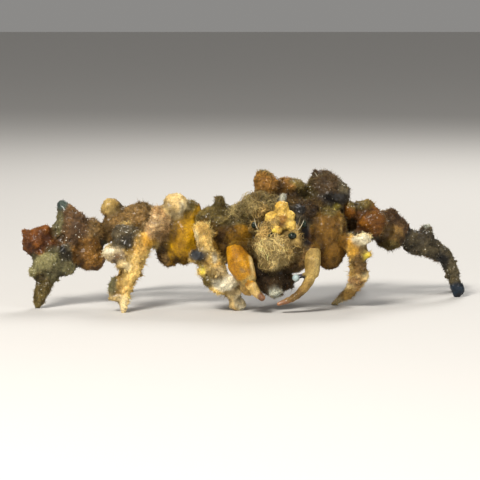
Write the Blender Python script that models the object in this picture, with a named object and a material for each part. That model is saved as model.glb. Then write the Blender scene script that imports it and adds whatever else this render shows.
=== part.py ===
"""A spider decorator crab, wrapped in sponges and weed, standing still at life size.

The crab faces -Y with its own right side towards -X. Shapes are worked out in millimetres, and the last step
brings them to metres with the middle of the footprint on the origin and the feet on the floor at Z = 0.

Every node is a union of a few plain shapes. The nodes are made from the shell outwards, and each is carved clear
of the ones made before it, so that neighbours meet face to face across the same narrow gap.
"""

import math
import random
from dataclasses import dataclass

import bmesh
import bpy
from mathutils import Euler, Matrix, Vector, noise

MM = 0.001
GAP = 0.3

# The body: where it stands, how it is turned, and the shell's size.
BODY_CENTRE = Vector((11.3, 0.5, 0.0))
BODY_TURN = math.radians(-8)
SHELL_LENGTH = 30.5
SHELL_WIDTH = 24.0
SHELL_HEIGHT = 12.6
SHELL_MIDDLE_Z = 20.0
NECK_SHARE = 0.50
THORAX_Z = 12.6
EYE_RADIUS = 1.0

# Where each pair of limbs leaves the thorax: out from the middle line, back along the body, and up.
CLAW_ROOT = (5.6, -9.6, 12.4)
LEG_ROOTS = ((8.4, -6.5, 12.8), (9.2, -2.0, 12.6), (9.2, 3.0, 12.6), (8.2, 7.6, 12.8))

# How fine a shape's surface is: points on the shell, on a lump at its least and for each millimetre of its radius,
# and the share of a fused body's faces that stays once its slivers are thinned out.
SHELL_POINTS = 230
LUMP_LEAST = 12
LUMP_MORE = 7
KEPT_FACES = 0.56

# Stiff bristles and soft tufts: radius at the root and at the tip.
BRISTLE_ROOT = 0.42
BRISTLE_TIP = 0.13
TUFT_RADII = (0.75, 0.6, 0.28)


@dataclass(frozen=True)
class Lump:
    """A rounded clump: a sphere of triangles stretched to its radii and swollen by smooth noise."""

    centre: tuple
    radii: tuple
    turn: tuple = (0, 0, 0)
    rough: float = 0.16

    def build(self, grow=0.0):
        mesh = even_sphere(int(LUMP_LEAST + LUMP_MORE * max(self.radii)))
        spin = Euler([math.radians(a) for a in self.turn]).to_matrix()
        centre = Vector(self.centre)
        for vert in mesh.verts:
            ray = vert.co.normalized()
            swell = 1 + self.rough * noise.noise(ray * 1.9 + centre * 0.71)
            swell += 0.5 * self.rough * noise.noise(ray * 4.1 - centre)
            local = Vector([swell * s * r for s, r in zip(ray, self.radii)])
            outward = Vector([s / r for s, r in zip(ray, self.radii)]).normalized()
            vert.co = centre + spin @ (local + outward * grow)
        return mesh_object(mesh)


@dataclass(frozen=True)
class Tube:
    """A bent, tapering tube through a few points, with its radius at each and its ends rounded or blunt."""

    points: tuple
    radii: tuple
    sides: int = 8
    steps: int = 2
    wobble: float = 0.10
    rounded: bool = True

    def build(self, grow=0.0):
        line = smooth_path([Vector(p) for p in self.points], self.steps)
        girth = [along(self.radii, i / (len(line) - 1)) for i in range(len(line))]
        start, end = (line[0] - line[1]).normalized(), (line[-1] - line[-2]).normalized()
        if self.rounded:
            line = [line[0] + start * 0.6 * girth[0], line[0] + start * 0.35 * girth[0], *line,
                    line[-1] + end * 0.35 * girth[-1], line[-1] + end * 0.6 * girth[-1]]
            girth = [0.45 * girth[0], 0.85 * girth[0], *girth, 0.85 * girth[-1], 0.45 * girth[-1]]
        line[0] = line[0] + start * grow
        line[-1] = line[-1] + end * grow
        curve = bpy.data.curves.new("tube", "CURVE")
        curve.dimensions = "3D"
        curve.bevel_depth = 1.0
        curve.bevel_resolution = (self.sides - 4) // 2
        curve.use_fill_caps = True
        spline = curve.splines.new("POLY")
        spline.points.add(len(line) - 1)
        for point, place, radius in zip(spline.points, line, girth):
            point.co = (*place, 1.0)
            point.radius = radius + grow
        obj = link(bpy.data.objects.new("tube", curve))
        graph = bpy.context.evaluated_depsgraph_get()
        made = bpy.data.meshes.new_from_object(obj.evaluated_get(graph))
        mesh = bmesh.new()
        mesh.from_mesh(made)
        bpy.data.objects.remove(obj)
        bpy.data.meshes.remove(made)
        bmesh.ops.remove_doubles(mesh, verts=mesh.verts, dist=0.0001)
        bmesh.ops.recalc_face_normals(mesh, faces=mesh.faces)
        mesh.normal_update()
        size = self.wobble * max(self.radii)
        for vert in mesh.verts:
            vert.co += vert.normal * size * noise.noise(vert.co * 0.55)
        return mesh_object(mesh)


@dataclass(frozen=True)
class Bristle:
    """A short stiff bristle: a thin cone from inside the limb to its blunt tip."""

    root: Vector
    tip: Vector

    def build(self, grow=0.0):
        mesh = bmesh.new()
        way = self.tip - self.root
        length = way.length + grow
        bmesh.ops.create_cone(mesh, cap_ends=True, cap_tris=False, segments=4, radius1=BRISTLE_ROOT + grow,
                              radius2=BRISTLE_TIP + grow, depth=length)
        bmesh.ops.translate(mesh, verts=mesh.verts, vec=(0, 0, length / 2))
        bmesh.ops.rotate(mesh, verts=mesh.verts, matrix=way.to_track_quat("Z", "Y").to_matrix())
        bmesh.ops.translate(mesh, verts=mesh.verts, vec=self.root)
        return mesh_object(mesh)


@dataclass(frozen=True)
class Shell:
    """The pear-shaped carapace: narrow at the head, broad and domed over the gills."""

    def build(self, grow=0.0):
        mesh = even_sphere(SHELL_POINTS)
        for vert in mesh.verts:
            x, y, z = vert.co
            broad = NECK_SHARE + (1 - NECK_SHARE) * smooth_step(-0.95, 0.25, y)
            tall = 0.80 + 0.20 * smooth_step(-0.9, 0.1, y)
            under = 0.75 if z < 0 else 1.0
            place = Vector((x * broad * SHELL_WIDTH / 2, y * SHELL_LENGTH / 2, z * tall * under * SHELL_HEIGHT / 2))
            place += vert.co * (grow + 0.55 * noise.noise(place * 0.28) + regions(place))
            vert.co = body_point(place.x, place.y, place.z + SHELL_MIDDLE_Z)
        return mesh_object(mesh)


@dataclass(frozen=True)
class Ball:
    """A plain round ball, for an eye."""

    centre: tuple
    radius: float

    def build(self, grow=0.0):
        mesh = bmesh.new()
        bmesh.ops.create_uvsphere(mesh, u_segments=10, v_segments=7, radius=self.radius + grow)
        bmesh.ops.translate(mesh, verts=mesh.verts, vec=self.centre)
        return mesh_object(mesh)


def regions(place):
    """The low swellings of the shell over the stomach, the heart and the two gill chambers."""
    height = 0.0
    for x, y, width, lift in ((0, -6, 4, 0.9), (0, 6.5, 3, 0.7), (7, 4, 4, 0.7), (-7, 4, 4, 0.7)):
        reach = ((place.x - x) ** 2 + (place.y - y) ** 2) / width**2
        height += lift * math.exp(-reach) * (place.z > 0)
    return height


def even_sphere(count):
    """A ball of radius 1 with this many points, spread evenly along a spiral."""
    mesh = bmesh.new()
    for i in range(count):
        height = 1 - 2 * (i + 0.5) / count
        wide = math.sqrt(1 - height * height)
        angle = i * math.pi * (3 - math.sqrt(5))
        mesh.verts.new((wide * math.cos(angle), wide * math.sin(angle), height))
    bmesh.ops.convex_hull(mesh, input=mesh.verts)
    return mesh


def smooth_step(low, high, value):
    """0 below low, 1 above high, and an even curve between."""
    share = min(1.0, max(0.0, (value - low) / (high - low)))
    return share * share * (3 - 2 * share)


def along(values, share):
    """The value at this share of the way through a list, with straight runs between."""
    spot = share * (len(values) - 1)
    index = min(int(spot), len(values) - 2)
    return values[index] + (values[index + 1] - values[index]) * (spot - index)


def smooth_path(points, steps):
    """Points on one smooth curve through the given ones, with this many steps from each to the next."""
    ends = [2 * points[0] - points[1], *points, 2 * points[-1] - points[-2]]
    line = []
    for i in range(1, len(ends) - 2):
        before, here, there, after = ends[i - 1 : i + 3]
        for step in range(steps):
            t = step / steps
            line.append(0.5 * (2 * here + (there - before) * t
                               + (2 * before - 5 * here + 4 * there - after) * t**2
                               + (3 * here - before - 3 * there + after) * t**3))
    return [*line, points[-1]]


def body_point(out, back, up):
    """A place on the body, given out from its middle line, back along it and up, in the crab's own frame."""
    turned = Matrix.Rotation(BODY_TURN, 3, "Z") @ Vector((out, back, up))
    return turned + BODY_CENTRE


def bristles(tube, count, length, seed):
    """Bristles wound round a tube from end to end, each sunk in it and leaning a little towards its far end."""
    draw = random.Random(seed)
    points = [Vector(p) for p in tube.points]
    made = []
    for i in range(count):
        share = 0.10 + 0.80 * (i + 0.5) / count
        centre, ahead = along(points, share), (along(points, share + 0.08) - along(points, share - 0.08)).normalized()
        side = ahead.cross(Vector((0, 1, 0))).normalized()
        angle = i * math.pi * (3 - math.sqrt(5)) + draw.uniform(-0.4, 0.4)
        out = Matrix.Rotation(angle, 3, ahead) @ side
        girth = along(tube.radii, share)
        tip = centre + out * (girth + length * draw.uniform(0.75, 1.2)) + ahead * length * 0.5
        made.append(Bristle(centre + out * girth * 0.45, tip))
    return made


def link(obj):
    bpy.context.scene.collection.objects.link(obj)
    return obj


def mesh_object(mesh):
    """A new object that holds this bmesh."""
    data = bpy.data.meshes.new("shape")
    mesh.to_mesh(data)
    mesh.free()
    return link(bpy.data.objects.new("shape", data))


def apply_modifiers(obj):
    """Keeps the shape that the modifiers give, without the modifiers."""
    bpy.context.view_layer.update()
    graph = bpy.context.evaluated_depsgraph_get()
    old, obj.data = obj.data, bpy.data.meshes.new_from_object(obj.evaluated_get(graph))
    obj.modifiers.clear()
    bpy.data.meshes.remove(old)


def combine(obj, others, operation):
    """Applies one Boolean between an object and a collection of others, which are then removed."""
    if not others:
        return
    group = bpy.data.collections.new("operands")
    for other in others:
        group.objects.link(other)
    change = obj.modifiers.new("combine", "BOOLEAN")
    change.operation = operation
    change.solver = "MANIFOLD"
    change.operand_type = "COLLECTION"
    change.collection = group
    apply_modifiers(obj)
    for other in others:
        bpy.data.objects.remove(other)
    bpy.data.collections.remove(group)


def fused(shapes, grow=0.0):
    """One closed body from several shapes, each made a little larger all round by grow."""
    first, *rest = [shape.build(grow) for shape in shapes]
    combine(first, rest, "UNION")
    return first


def thin_out(obj):
    """Merges the slivers that a union leaves along its seams, where the surface stays closed."""
    before = obj.data.copy()
    change = obj.modifiers.new("thin", "DECIMATE")
    change.ratio = KEPT_FACES
    apply_modifiers(obj)
    if closed(obj.data):
        bpy.data.meshes.remove(before)
    else:
        obj.data = before


def closed(data):
    """True if every edge of a mesh has exactly two faces."""
    uses = {}
    for face in data.polygons:
        for key in face.edge_keys:
            uses[key] = uses.get(key, 0) + 1
    return set(uses.values()) == {2}


def keep_largest(data):
    """Leaves only the largest closed surface of a mesh."""
    mesh = bmesh.new()
    mesh.from_mesh(data)
    bmesh.ops.remove_doubles(mesh, verts=mesh.verts, dist=0.002)
    bmesh.ops.dissolve_degenerate(mesh, edges=mesh.edges, dist=0.002)
    bmesh.ops.triangulate(mesh, faces=mesh.faces)
    left, islands = set(mesh.faces), []
    while left:
        island, edge = set(), [left.pop()]
        while edge:
            face = edge.pop()
            island.add(face)
            beside = {f for e in face.edges for f in e.link_faces if f in left}
            left -= beside
            edge.extend(beside)
        islands.append(island)
    islands.sort(key=lambda faces: sum(f.calc_area() for f in faces))
    bmesh.ops.delete(mesh, geom=[f for faces in islands[:-1] for f in faces], context="FACES")
    bmesh.ops.delete(mesh, geom=[v for v in mesh.verts if not v.link_faces], context="VERTS")
    mesh.to_mesh(data)
    mesh.free()


def bounds(obj):
    """Lowest and highest corner of a mesh object, whose place is in its mesh."""
    places = [vert.co for vert in obj.data.vertices]
    return (Vector([min(p[i] for p in places) for i in range(3)]),
            Vector([max(p[i] for p in places) for i in range(3)]))


def near(first, second):
    """True if two boxes come within the gap of each other."""
    return all(first[0][i] - GAP < second[1][i] and second[0][i] - GAP < first[1][i] for i in range(3))


def floor_block():
    """The space under the floor, which squares off the toes."""
    mesh = bmesh.new()
    bmesh.ops.create_cube(mesh, size=1.0)
    bmesh.ops.scale(mesh, verts=mesh.verts, vec=(400, 400, 20))
    bmesh.ops.translate(mesh, verts=mesh.verts, vec=(0, 0, -10))
    return mesh_object(mesh)


class Crab:
    """Makes the nodes one after another and keeps what each new one has to stay clear of."""

    def __init__(self):
        self.made = []

    def add(self, name, shapes, finish, hairs=()):
        """One node: its shapes and hairs joined, carved clear of the nodes before it, and cut off at the floor."""
        obj = fused(shapes)
        if len(shapes) > 1:
            thin_out(obj)
        combine(obj, [hair.build() for hair in hairs], "UNION")
        box = bounds(obj)
        for old, old_box in self.made:
            if near(box, old_box):
                combine(obj, [fused(old, GAP)], "DIFFERENCE")
        if box[0].z < 0:
            combine(obj, [floor_block()], "DIFFERENCE")
        keep_largest(obj.data)
        obj.name = name
        obj.data.name = name
        obj.data.materials.clear()
        obj.data.materials.append(finish)
        obj.data.shade_smooth()
        obj.data.set_sharp_from_angle(angle=math.radians(55))
        self.made.append(((*shapes, *hairs), box))


def coating(name, colour, roughness):
    """A plain material for one kind of surface."""
    made = bpy.data.materials.new(name)
    made.use_nodes = True
    shader = made.node_tree.nodes["Principled BSDF"]
    shader.inputs["Base Color"].default_value = (*colour, 1)
    shader.inputs["Roughness"].default_value = roughness
    shader.inputs["Metallic"].default_value = 0
    return made


@dataclass(frozen=True)
class Leg:
    """A walking leg: which pair it is of, the places it bends at, and how thick it is from knee to toe."""

    name: str
    side: int
    rank: int
    knee: tuple
    shin: tuple
    ankle: tuple
    arch: tuple
    toe: tuple
    shank_radii: tuple = (1.8, 1.95, 1.9, 1.5)
    foot_radii: tuple = (1.45, 1.25, 0.95, 0.5)
    merus_radii: tuple = (1.6, 1.5, 1.5, 1.8)
    bow: float = 1.6

    def segments(self):
        """The three tubes from the body out: merus, shank and foot."""
        root = body_point(self.side * LEG_ROOTS[self.rank][0], *LEG_ROOTS[self.rank][1:])
        middle = root.lerp(Vector(self.knee), 0.45) + Vector((0, 0, self.bow))
        return {
            "merus": Tube((tuple(root), tuple(middle), self.knee), self.merus_radii),
            "shank": Tube((self.knee, self.shin, self.ankle), self.shank_radii),
            "foot": Tube((self.ankle, self.arch, self.toe), self.foot_radii),
        }


LEGS = (
    Leg("r1", -1, 0, (-9.6, -12.4, 19.4), (-8.0, -14.0, 14.2), (-4.9, -14.0, 7.4), (-2.9, -13.0, 4.0),
        (-1.4, -11.8, 0.0), shank_radii=(2.2, 2.35, 2.1, 1.7), foot_radii=(1.5, 1.2, 1.0, 0.75)),
    Leg("r2", -1, 1, (-22.0, -9.4, 19.4), (-25.2, -11.8, 12.4), (-27.4, -14.0, 7.0), (-27.9, -15.0, 3.6),
        (-28.3, -16.0, 0.0), shank_radii=(1.9, 2.2, 2.15, 1.6)),
    Leg("r3", -1, 2, (-27.8, 2.0, 19.4), (-37.0, -1.6, 14.2), (-45.0, -6.0, 9.8), (-47.7, -7.6, 4.9),
        (-49.0, -8.0, 0.0), foot_radii=(2.0, 1.85, 1.6, 0.6)),
    Leg("r4", -1, 3, (-22.6, 15.0, 18.2), (-25.6, 18.4, 13.2), (-27.6, 20.6, 7.6), (-29.0, 21.4, 3.8),
        (-29.6, 21.2, 0.0)),
    Leg("l1", 1, 0, (25.2, -12.0, 16.0), (27.2, -9.8, 10.8), (26.8, -7.0, 6.2), (24.6, -3.6, 2.7),
        (21.4, -1.2, 0.0), shank_radii=(1.6, 1.75, 1.75, 1.55), foot_radii=(1.45, 1.25, 0.9, 0.45), bow=2.4),
    Leg("l2", 1, 1, (36.0, 7.0, 17.2), (43.1, 10.0, 13.9), (49.3, 12.5, 10.0), (51.6, 13.0, 5.4),
        (52.4, 13.0, 0.0), shank_radii=(1.8, 2.1, 2.1, 1.8), foot_radii=(1.75, 1.55, 1.3, 0.8)),
    Leg("l3", 1, 2, (36.2, 18.0, 15.8), (43.6, 22.4, 12.2), (50.0, 25.4, 8.6), (52.4, 25.6, 4.4),
        (53.2, 25.0, 0.0)),
    Leg("l4", 1, 3, (24.4, 19.5, 18.6), (27.6, 24.8, 13.6), (29.0, 29.0, 8.4), (28.8, 30.8, 4.2),
        (28.4, 31.0, 0.0)),
)

# What has grown on one segment of a limb and is one body with it.
CRUSTS = {
    "leg_r1_shank": (
        Lump((-10.7, -14.6, 13.2), (2.3, 1.4, 1.6), (0, -14, 0)),
        Lump((-9.4, -14.8, 9.7), (1.1, 1.0, 1.3)),
        Lump((-7.9, -14.6, 7.6), (1.8, 1.2, 1.7), (0, 30, 0)),
    ),
    "leg_r1_foot": (
        Lump((-4.0, -14.6, 6.6), (2.3, 1.5, 1.7), (0, 20, 0)),
        Lump((-6.3, -14.6, 5.3), (1.6, 1.1, 1.0), (0, 22, 0)),
        Lump((-2.5, -12.0, 1.4), (0.95, 0.9, 1.2)),
        Lump((-0.4, -11.8, 1.5), (0.95, 0.9, 1.2)),
    ),
    "leg_r2_shank": (
        Lump((-27.9, -9.0, 17.6), (3.4, 2.5, 3.0)),
        Lump((-29.9, -12.0, 13.5), (3.1, 2.3, 2.5)),
        Lump((-28.0, -13.6, 11.0), (1.8, 1.2, 1.1), (0, -10, 0)),
    ),
    "leg_r2_foot": (
        Lump((-30.3, -14.9, 6.3), (1.5, 0.9, 2.4), (0, 12, 0)),
        Lump((-29.9, -15.0, 3.4), (1.9, 0.8, 0.9), (0, -8, 0)),
    ),
    "leg_r3_foot": (
        Lump((-46.4, -6.4, 10.6), (3.6, 2.8, 3.3)),
        Lump((-42.8, -5.2, 9.8), (3.2, 2.4, 2.3), (0, -8, 0)),
        Lump((-49.1, -7.6, 8.5), (1.7, 1.4, 1.4)),
    ),
    "leg_r4_merus": (
        Lump((-8.0, 11.0, 17.4), (4.4, 2.8, 3.4)),
        Lump((-18.4, 13.8, 19.0), (3.4, 2.8, 3.0)),
    ),
    "leg_r4_shank": (Lump((-24.6, 17.6, 14.6), (2.4, 2.4, 3.0)),),
    "leg_l1_shank": (
        Lump((27.9, -12.0, 16.8), (2.2, 1.6, 1.5), (0, -14, 0)),
        Lump((28.8, -11.2, 13.1), (1.4, 0.9, 0.9), (0, -10, 0)),
        Lump((28.3, -8.8, 8.0), (1.4, 1.2, 1.6)),
    ),
    "leg_l1_foot": (Lump((25.2, -4.8, 2.9), (1.8, 1.0, 1.1), (0, -38, 0)),),
    "leg_l2_shank": (
        Lump((42.4, 9.8, 13.3), (3.4, 2.3, 2.7), (0, 24, 0)),
        Tube(((44.4, 10.8, 13.6), (44.8, 11.0, 17.0)), (2.5, 1.0)),
    ),
    "leg_l2_foot": (Lump((52.9, 13.2, 2.0), (1.5, 1.3, 1.8)),),
    "leg_l3_merus": (
        Lump((26.0, 10.4, 17.6), (3.6, 2.6, 3.0)),
        Lump((33.4, 16.4, 17.4), (3.0, 2.6, 2.4)),
    ),
    "leg_l3_shank": (Lump((42.2, 21.6, 12.8), (3.2, 2.4, 2.3), (0, 28, 0)),),
    "leg_l4_merus": (
        Lump((19.8, 13.8, 18.2), (3.2, 3.0, 3.2)),
        Lump((23.4, 18.2, 19.8), (2.6, 2.6, 2.2)),
    ),
    "leg_l4_shank": (Lump((26.6, 23.6, 14.6), (2.3, 2.6, 2.6)),),
    "claw_l_hand": (
        Lump((12.2, -15.9, 8.3), (0.85, 0.85, 0.85)),
        Tube(((12.4, -16.0, 8.4), (15.2, -17.0, 9.2)), (0.55, 0.6), sides=6),
    ),
}

# The larger sponges and clumps, each a node of its own.
GROWTHS = {
    "growth_crown_right": ("rust", (
        Lump((5.3, -4.8, 28.9), (2.8, 2.6, 3.4)),
        Lump((4.7, -4.8, 31.7), (1.5, 1.3, 1.1)),
    )),
    "growth_crown_left": ("umber", (
        Lump((19.6, 2.0, 27.2), (4.4, 4.2, 4.5)),
        Lump((22.4, 2.2, 25.6), (3.0, 3.6, 4.6)),
        Tube(((17.6, 1.8, 30.0), (17.1, 1.8, 32.0)), (0.55, 0.3), sides=6, steps=1),
    )),
    "growth_ridge": ("umber", (
        Lump((11.2, -1.0, 27.2), (5.0, 3.8, 2.7)),
        Lump((13.3, 0.2, 29.4), (1.3, 1.2, 1.3)),
        Lump((14.0, 8.4, 26.0), (4.8, 4.0, 2.6)),
        Lump((8.0, 6.6, 26.2), (3.6, 3.4, 2.3)),
    )),
    "growth_cone": ("pale", (Tube(((8.6, -9.6, 23.6), (9.3, -10.4, 27.0)), (1.7, 0.7)),)),
    "growth_forehead": ("yolk", (
        Lump((8.8, -14.4, 21.9), (2.8, 1.4, 3.0)),
        Lump((9.1, -14.8, 24.7), (1.6, 1.5, 1.6), rough=0.06),
        Lump((6.6, -15.6, 22.4), (1.6, 1.5, 1.6), rough=0.06),
        Lump((10.9, -15.6, 22.4), (1.4, 1.3, 1.4), rough=0.06),
        Lump((10.6, -16.2, 20.4), (1.4, 1.3, 1.4), rough=0.06),
        Lump((7.8, -16.2, 19.9), (1.3, 1.2, 1.2), rough=0.06),
    )),
    "growth_face_side": ("umber", (
        Lump((13.2, -11.4, 22.6), (2.3, 2.2, 2.4)),
        Lump((14.4, -11.0, 18.6), (2.3, 2.4, 3.0)),
    )),
    "growth_chest": ("wine", (
        Lump((6.8, -10.6, 7.2), (5.0, 3.2, 3.7)),
        Lump((7.4, -12.6, 4.6), (1.9, 1.4, 1.4)),
    )),
    "growth_r1_olive": ("weed", (
        Lump((-6.8, -8.6, 20.8), (4.3, 3.4, 3.6)),
        Lump((-1.6, -7.8, 20.8), (3.5, 3.2, 3.4)),
        Tube(((-5.9, -7.6, 22.6), (-5.7, -7.4, 26.0)), (2.0, 0.9), steps=1),
        Lump((-2.4, -8.8, 16.6), (4.3, 3.2, 4.4)),
    )),
    "growth_r2_yellow": ("gold", (
        Lump((-14.1, -6.2, 16.6), (4.0, 3.9, 6.2), (0, -6, 0)),
        Lump((-17.3, -4.8, 13.3), (3.0, 2.9, 3.9), (0, 20, 0)),
        Lump((-12.9, -4.4, 22.6), (2.8, 2.7, 2.9)),
        Lump((-16.8, -6.2, 24.2), (2.4, 2.3, 2.7)),
        Lump((-19.5, -8.6, 21.2), (2.7, 2.7, 3.4)),
    )),
    "growth_r3_fuzz": ("umber", (
        Lump((-28.2, 1.8, 18.8), (5.4, 4.0, 4.6)),
        Lump((-24.4, -0.4, 20.8), (5.0, 3.6, 3.8)),
        Lump((-31.7, 1.8, 22.8), (2.4, 2.2, 2.6)),
        Lump((-18.8, 3.2, 18.2), (4.0, 3.0, 3.0)),
    )),
    "growth_r3_peak": ("umber", (
        Lump((-40.8, -2.4, 18.4), (4.6, 3.6, 4.2)),
        Tube(((-41.6, -2.2, 20.0), (-43.4, -2.0, 24.4)), (3.4, 1.3)),
        Lump((-37.0, -1.8, 17.0), (4.0, 3.4, 3.8)),
        Lump((-37.0, -1.8, 11.9), (3.9, 3.2, 3.7)),
        Lump((-42.6, -4.4, 13.8), (2.6, 2.4, 2.6)),
    )),
    "growth_r3_red": ("rust", (
        Lump((-49.6, -5.2, 15.6), (2.9, 2.5, 3.5), (0, 18, 0)),
        Lump((-46.2, -4.8, 14.8), (2.2, 1.9, 2.2)),
    )),
    "growth_l1_skirt": ("gold", (
        Lump((19.6, -8.8, 19.2), (4.0, 3.1, 5.6), (0, -10, 0)),
        Lump((21.0, -9.4, 13.8), (3.9, 3.0, 3.8), (0, 14, 0)),
        Lump((24.4, -2.4, 19.8), (3.4, 3.2, 3.6)),
    )),
    "growth_l2_rust": ("rust", (
        Lump((31.0, 2.4, 19.4), (3.5, 3.1, 3.7), (0, -14, 0)),
        Lump((28.6, 3.4, 22.8), (3.0, 2.3, 2.0), (0, -8, 0)),
    )),
    "growth_l2_lace": ("weed", (
        Lump((35.2, 6.4, 19.9), (2.3, 2.2, 2.3)),
        Lump((37.2, 6.8, 17.4), (2.7, 2.6, 2.7)),
        Lump((35.3, 6.6, 14.9), (3.2, 2.8, 2.7)),
    )),
}

# The clump of weed beside the forehead, which the curls stand out of.
ALGAE = (
    Lump((2.9, -10.2, 24.3), (3.0, 2.8, 2.8)),
    Lump((0.8, -8.0, 22.4), (3.0, 2.8, 2.9)),
    Lump((3.2, -9.8, 20.4), (2.4, 2.2, 2.6)),
)

# How many bristles stand on a limb's shank and foot, and how far out of it.
SHANK_BRISTLES = (7, 1.0)
FOOT_BRISTLES = (4, 0.7)

# The curls of weed beside the forehead and the beard of hooked hairs round the mouth.
CURLS = 7
BEARD_ROWS = ((15.6, 4), (13.2, 4), (11.0, 3))


def curls():
    """Curled tufts of weed that stand out of the clump beside the forehead."""
    draw = random.Random(5)
    made = []
    for i in range(CURLS):
        angle = math.radians(-70 + 260 * i / (CURLS - 1))
        out = Vector((math.cos(angle), -0.25, math.sin(angle)))
        start = Vector((2.9, -10.4, 24.0)) + out * 1.6
        bend = start + out * 1.6 + Vector((0.7, 0, 0)) * draw.uniform(-1, 1)
        tip = bend + Vector((out.z, -0.5, -out.x)) * 1.1
        made.append(Tube((tuple(start), tuple(bend), tuple(tip)), (0.6, 0.5, 0.3), 4, 1, 0, False))
    return made


def beard(side):
    """Tufts that hang forwards and down from one outer plate of the mouth."""
    draw = random.Random(11 + side)
    made = []
    for row, (height, count) in enumerate(BEARD_ROWS):
        for i in range(count):
            out = side * (0.5 + 4.2 * (i + 0.5) / count)
            start = body_point(out * 0.55, -14.9, height)
            bend = body_point(out * 0.95, -16.9 + 0.25 * row, height - 0.4 + draw.uniform(-0.3, 0.3))
            tip = body_point(out * 1.1, -17.6 + 0.3 * row, height - 1.9 + draw.uniform(-0.4, 0.4))
            made.append(Tube((tuple(start), tuple(bend), tuple(tip)), TUFT_RADII, 4, 1, 0, False))
    return made


@dataclass(frozen=True)
class Claw:
    """A claw: its elbow and wrist, the points of its hand, and those of its two fingers."""

    name: str
    side: int
    elbow: tuple
    hand: tuple
    hand_radii: tuple
    fingers: tuple
    finger_radii: tuple
    spread: float

    def arm(self):
        """The tube from the thorax to the wrist."""
        root = body_point(self.side * CLAW_ROOT[0], *CLAW_ROOT[1:])
        return Tube((tuple(root), self.elbow, self.hand[0]), (1.7, 2.0, 1.6))

    def finger(self, side):
        """One finger, set to this side of the line between the two."""
        shares = [1.0, *[0.8] * (len(self.fingers) - 1)]
        points = [tuple(Vector(p) + Vector((0, side * self.spread * s, 0))) for p, s in zip(self.fingers, shares)]
        return Tube(tuple(points), self.finger_radii)


CLAWS = (
    Claw("r", -1, (1.0, -13.2, 14.6), ((-2.2, -15.8, 15.0), (-0.8, -17.8, 11.8), (0.9, -18.4, 8.2)), (1.7, 2.9, 2.1),
         ((0.9, -18.4, 8.2), (2.4, -18.5, 5.6), (4.4, -18.5, 3.6)), (1.5, 1.1, 0.5), 0.85),
    Claw("l", 1, (13.2, -13.6, 12.9), ((16.5, -14.6, 15.0), (16.1, -17.0, 12.3), (16.0, -17.5, 9.2)), (1.5, 2.0, 1.65),
         ((16.0, -17.5, 9.2), (14.2, -17.5, 6.0), (11.3, -17.5, 3.5), (8.0, -17.5, 2.2)), (1.3, 1.05, 0.8, 0.4), 0.72),
)


def thorax_shapes():
    """The underside of the body: a long, low block, broadest where the middle legs leave it."""
    turn = (0, 0, math.degrees(BODY_TURN))
    return (
        Lump(tuple(body_point(0, 2.0, THORAX_Z)), (9.6, 8.6, 3.5), turn, rough=0.04),
        Lump(tuple(body_point(0, -7.0, THORAX_Z)), (7.6, 6.6, 3.3), turn, rough=0.04),
    )


def abdomen_shapes():
    """The tail flap, folded under the body from the back, as six overlapping plates that narrow forwards."""
    shapes = []
    for index in range(6):
        share = index / 5
        back = 13.4 - 13.0 * share
        up = 12.6 - 4.3 * math.sin(min(1.0, share * 1.9) * math.pi / 2)
        tilt = -58 * (1 - smooth_step(0, 0.5, share))
        size = (3.9 - 1.5 * share, 1.9, 0.85)
        turn = (tilt, 0, math.degrees(BODY_TURN))
        shapes.append(Lump(tuple(body_point(0, back, up)), size, turn, rough=0.03))
    return tuple(shapes)


def add_face(crab, finish):
    """The eyes on their stalks, the feelers, and the mouth's outer plates with their beard."""
    for name, side in (("right", -1), ("left", 1)):
        eye = body_point(side * 2.5, -17.3, 18.2)
        root = body_point(side * 2.9, -13.0, 18.6)
        crab.add(f"eye_{name}", [Ball(tuple(eye), EYE_RADIUS)], finish["eye"])
        end = eye - (eye - root).normalized() * 0.5
        stalk = Tube((tuple(root), tuple(root.lerp(eye, 0.5)), tuple(end)), (1.25, 1.2, 1.15), steps=1)
        crab.add(f"eyestalk_{name}", [stalk], finish["shell"])
    for name, side in (("right", -1), ("left", 1)):
        points = [body_point(side * out, back, up) for out, back, up in
                  ((3.6, -14.2, 18.9), (4.6, -15.9, 19.6), (5.9, -15.9, 22.2))]
        feeler = Tube(tuple(tuple(p) for p in points), (0.7, 0.45, 0.3), sides=6)
        bead = Lump(tuple(body_point(side * 4.9, -14.9, 20.3)), (0.8, 1.2, 1.1), rough=0.05)
        crab.add(f"antenna_{name}", [feeler, bead], finish["pale"])
    for name, side in (("right", -1), ("left", 1)):
        plates = [
            Lump(tuple(body_point(side * 1.6, -15.0, 15.0)), (1.4, 1.4, 2.2), rough=0.05),
            Lump(tuple(body_point(side * 1.7, -14.4, 12.0)), (1.3, 1.4, 2.1), rough=0.05),
        ]
        crab.add(f"maxilliped_{name}", plates, finish["shell"], beard(side))


def add_limbs(crab, finish):
    """The eight walking legs and the two claws, each in three nodes from the body out."""
    for seed, leg in enumerate(LEGS):
        hairs = {"shank": SHANK_BRISTLES, "foot": FOOT_BRISTLES}
        for part, tube in leg.segments().items():
            name = f"leg_{leg.name}_{part}"
            fringe = bristles(tube, *hairs[part], seed) if part in hairs else ()
            crab.add(name, (tube, *CRUSTS.get(name, ())), finish["shell"], fringe)
    for claw in CLAWS:
        crab.add(f"claw_{claw.name}_arm", [claw.arm()], finish["shell"])
        hand = Tube(claw.hand, claw.hand_radii, sides=10)
        name = f"claw_{claw.name}_hand"
        crab.add(name, (hand, claw.finger(1), *CRUSTS.get(name, ())), finish["gold"])
        crab.add(f"claw_{claw.name}_finger", [claw.finger(-1)], finish["gold"])


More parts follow.
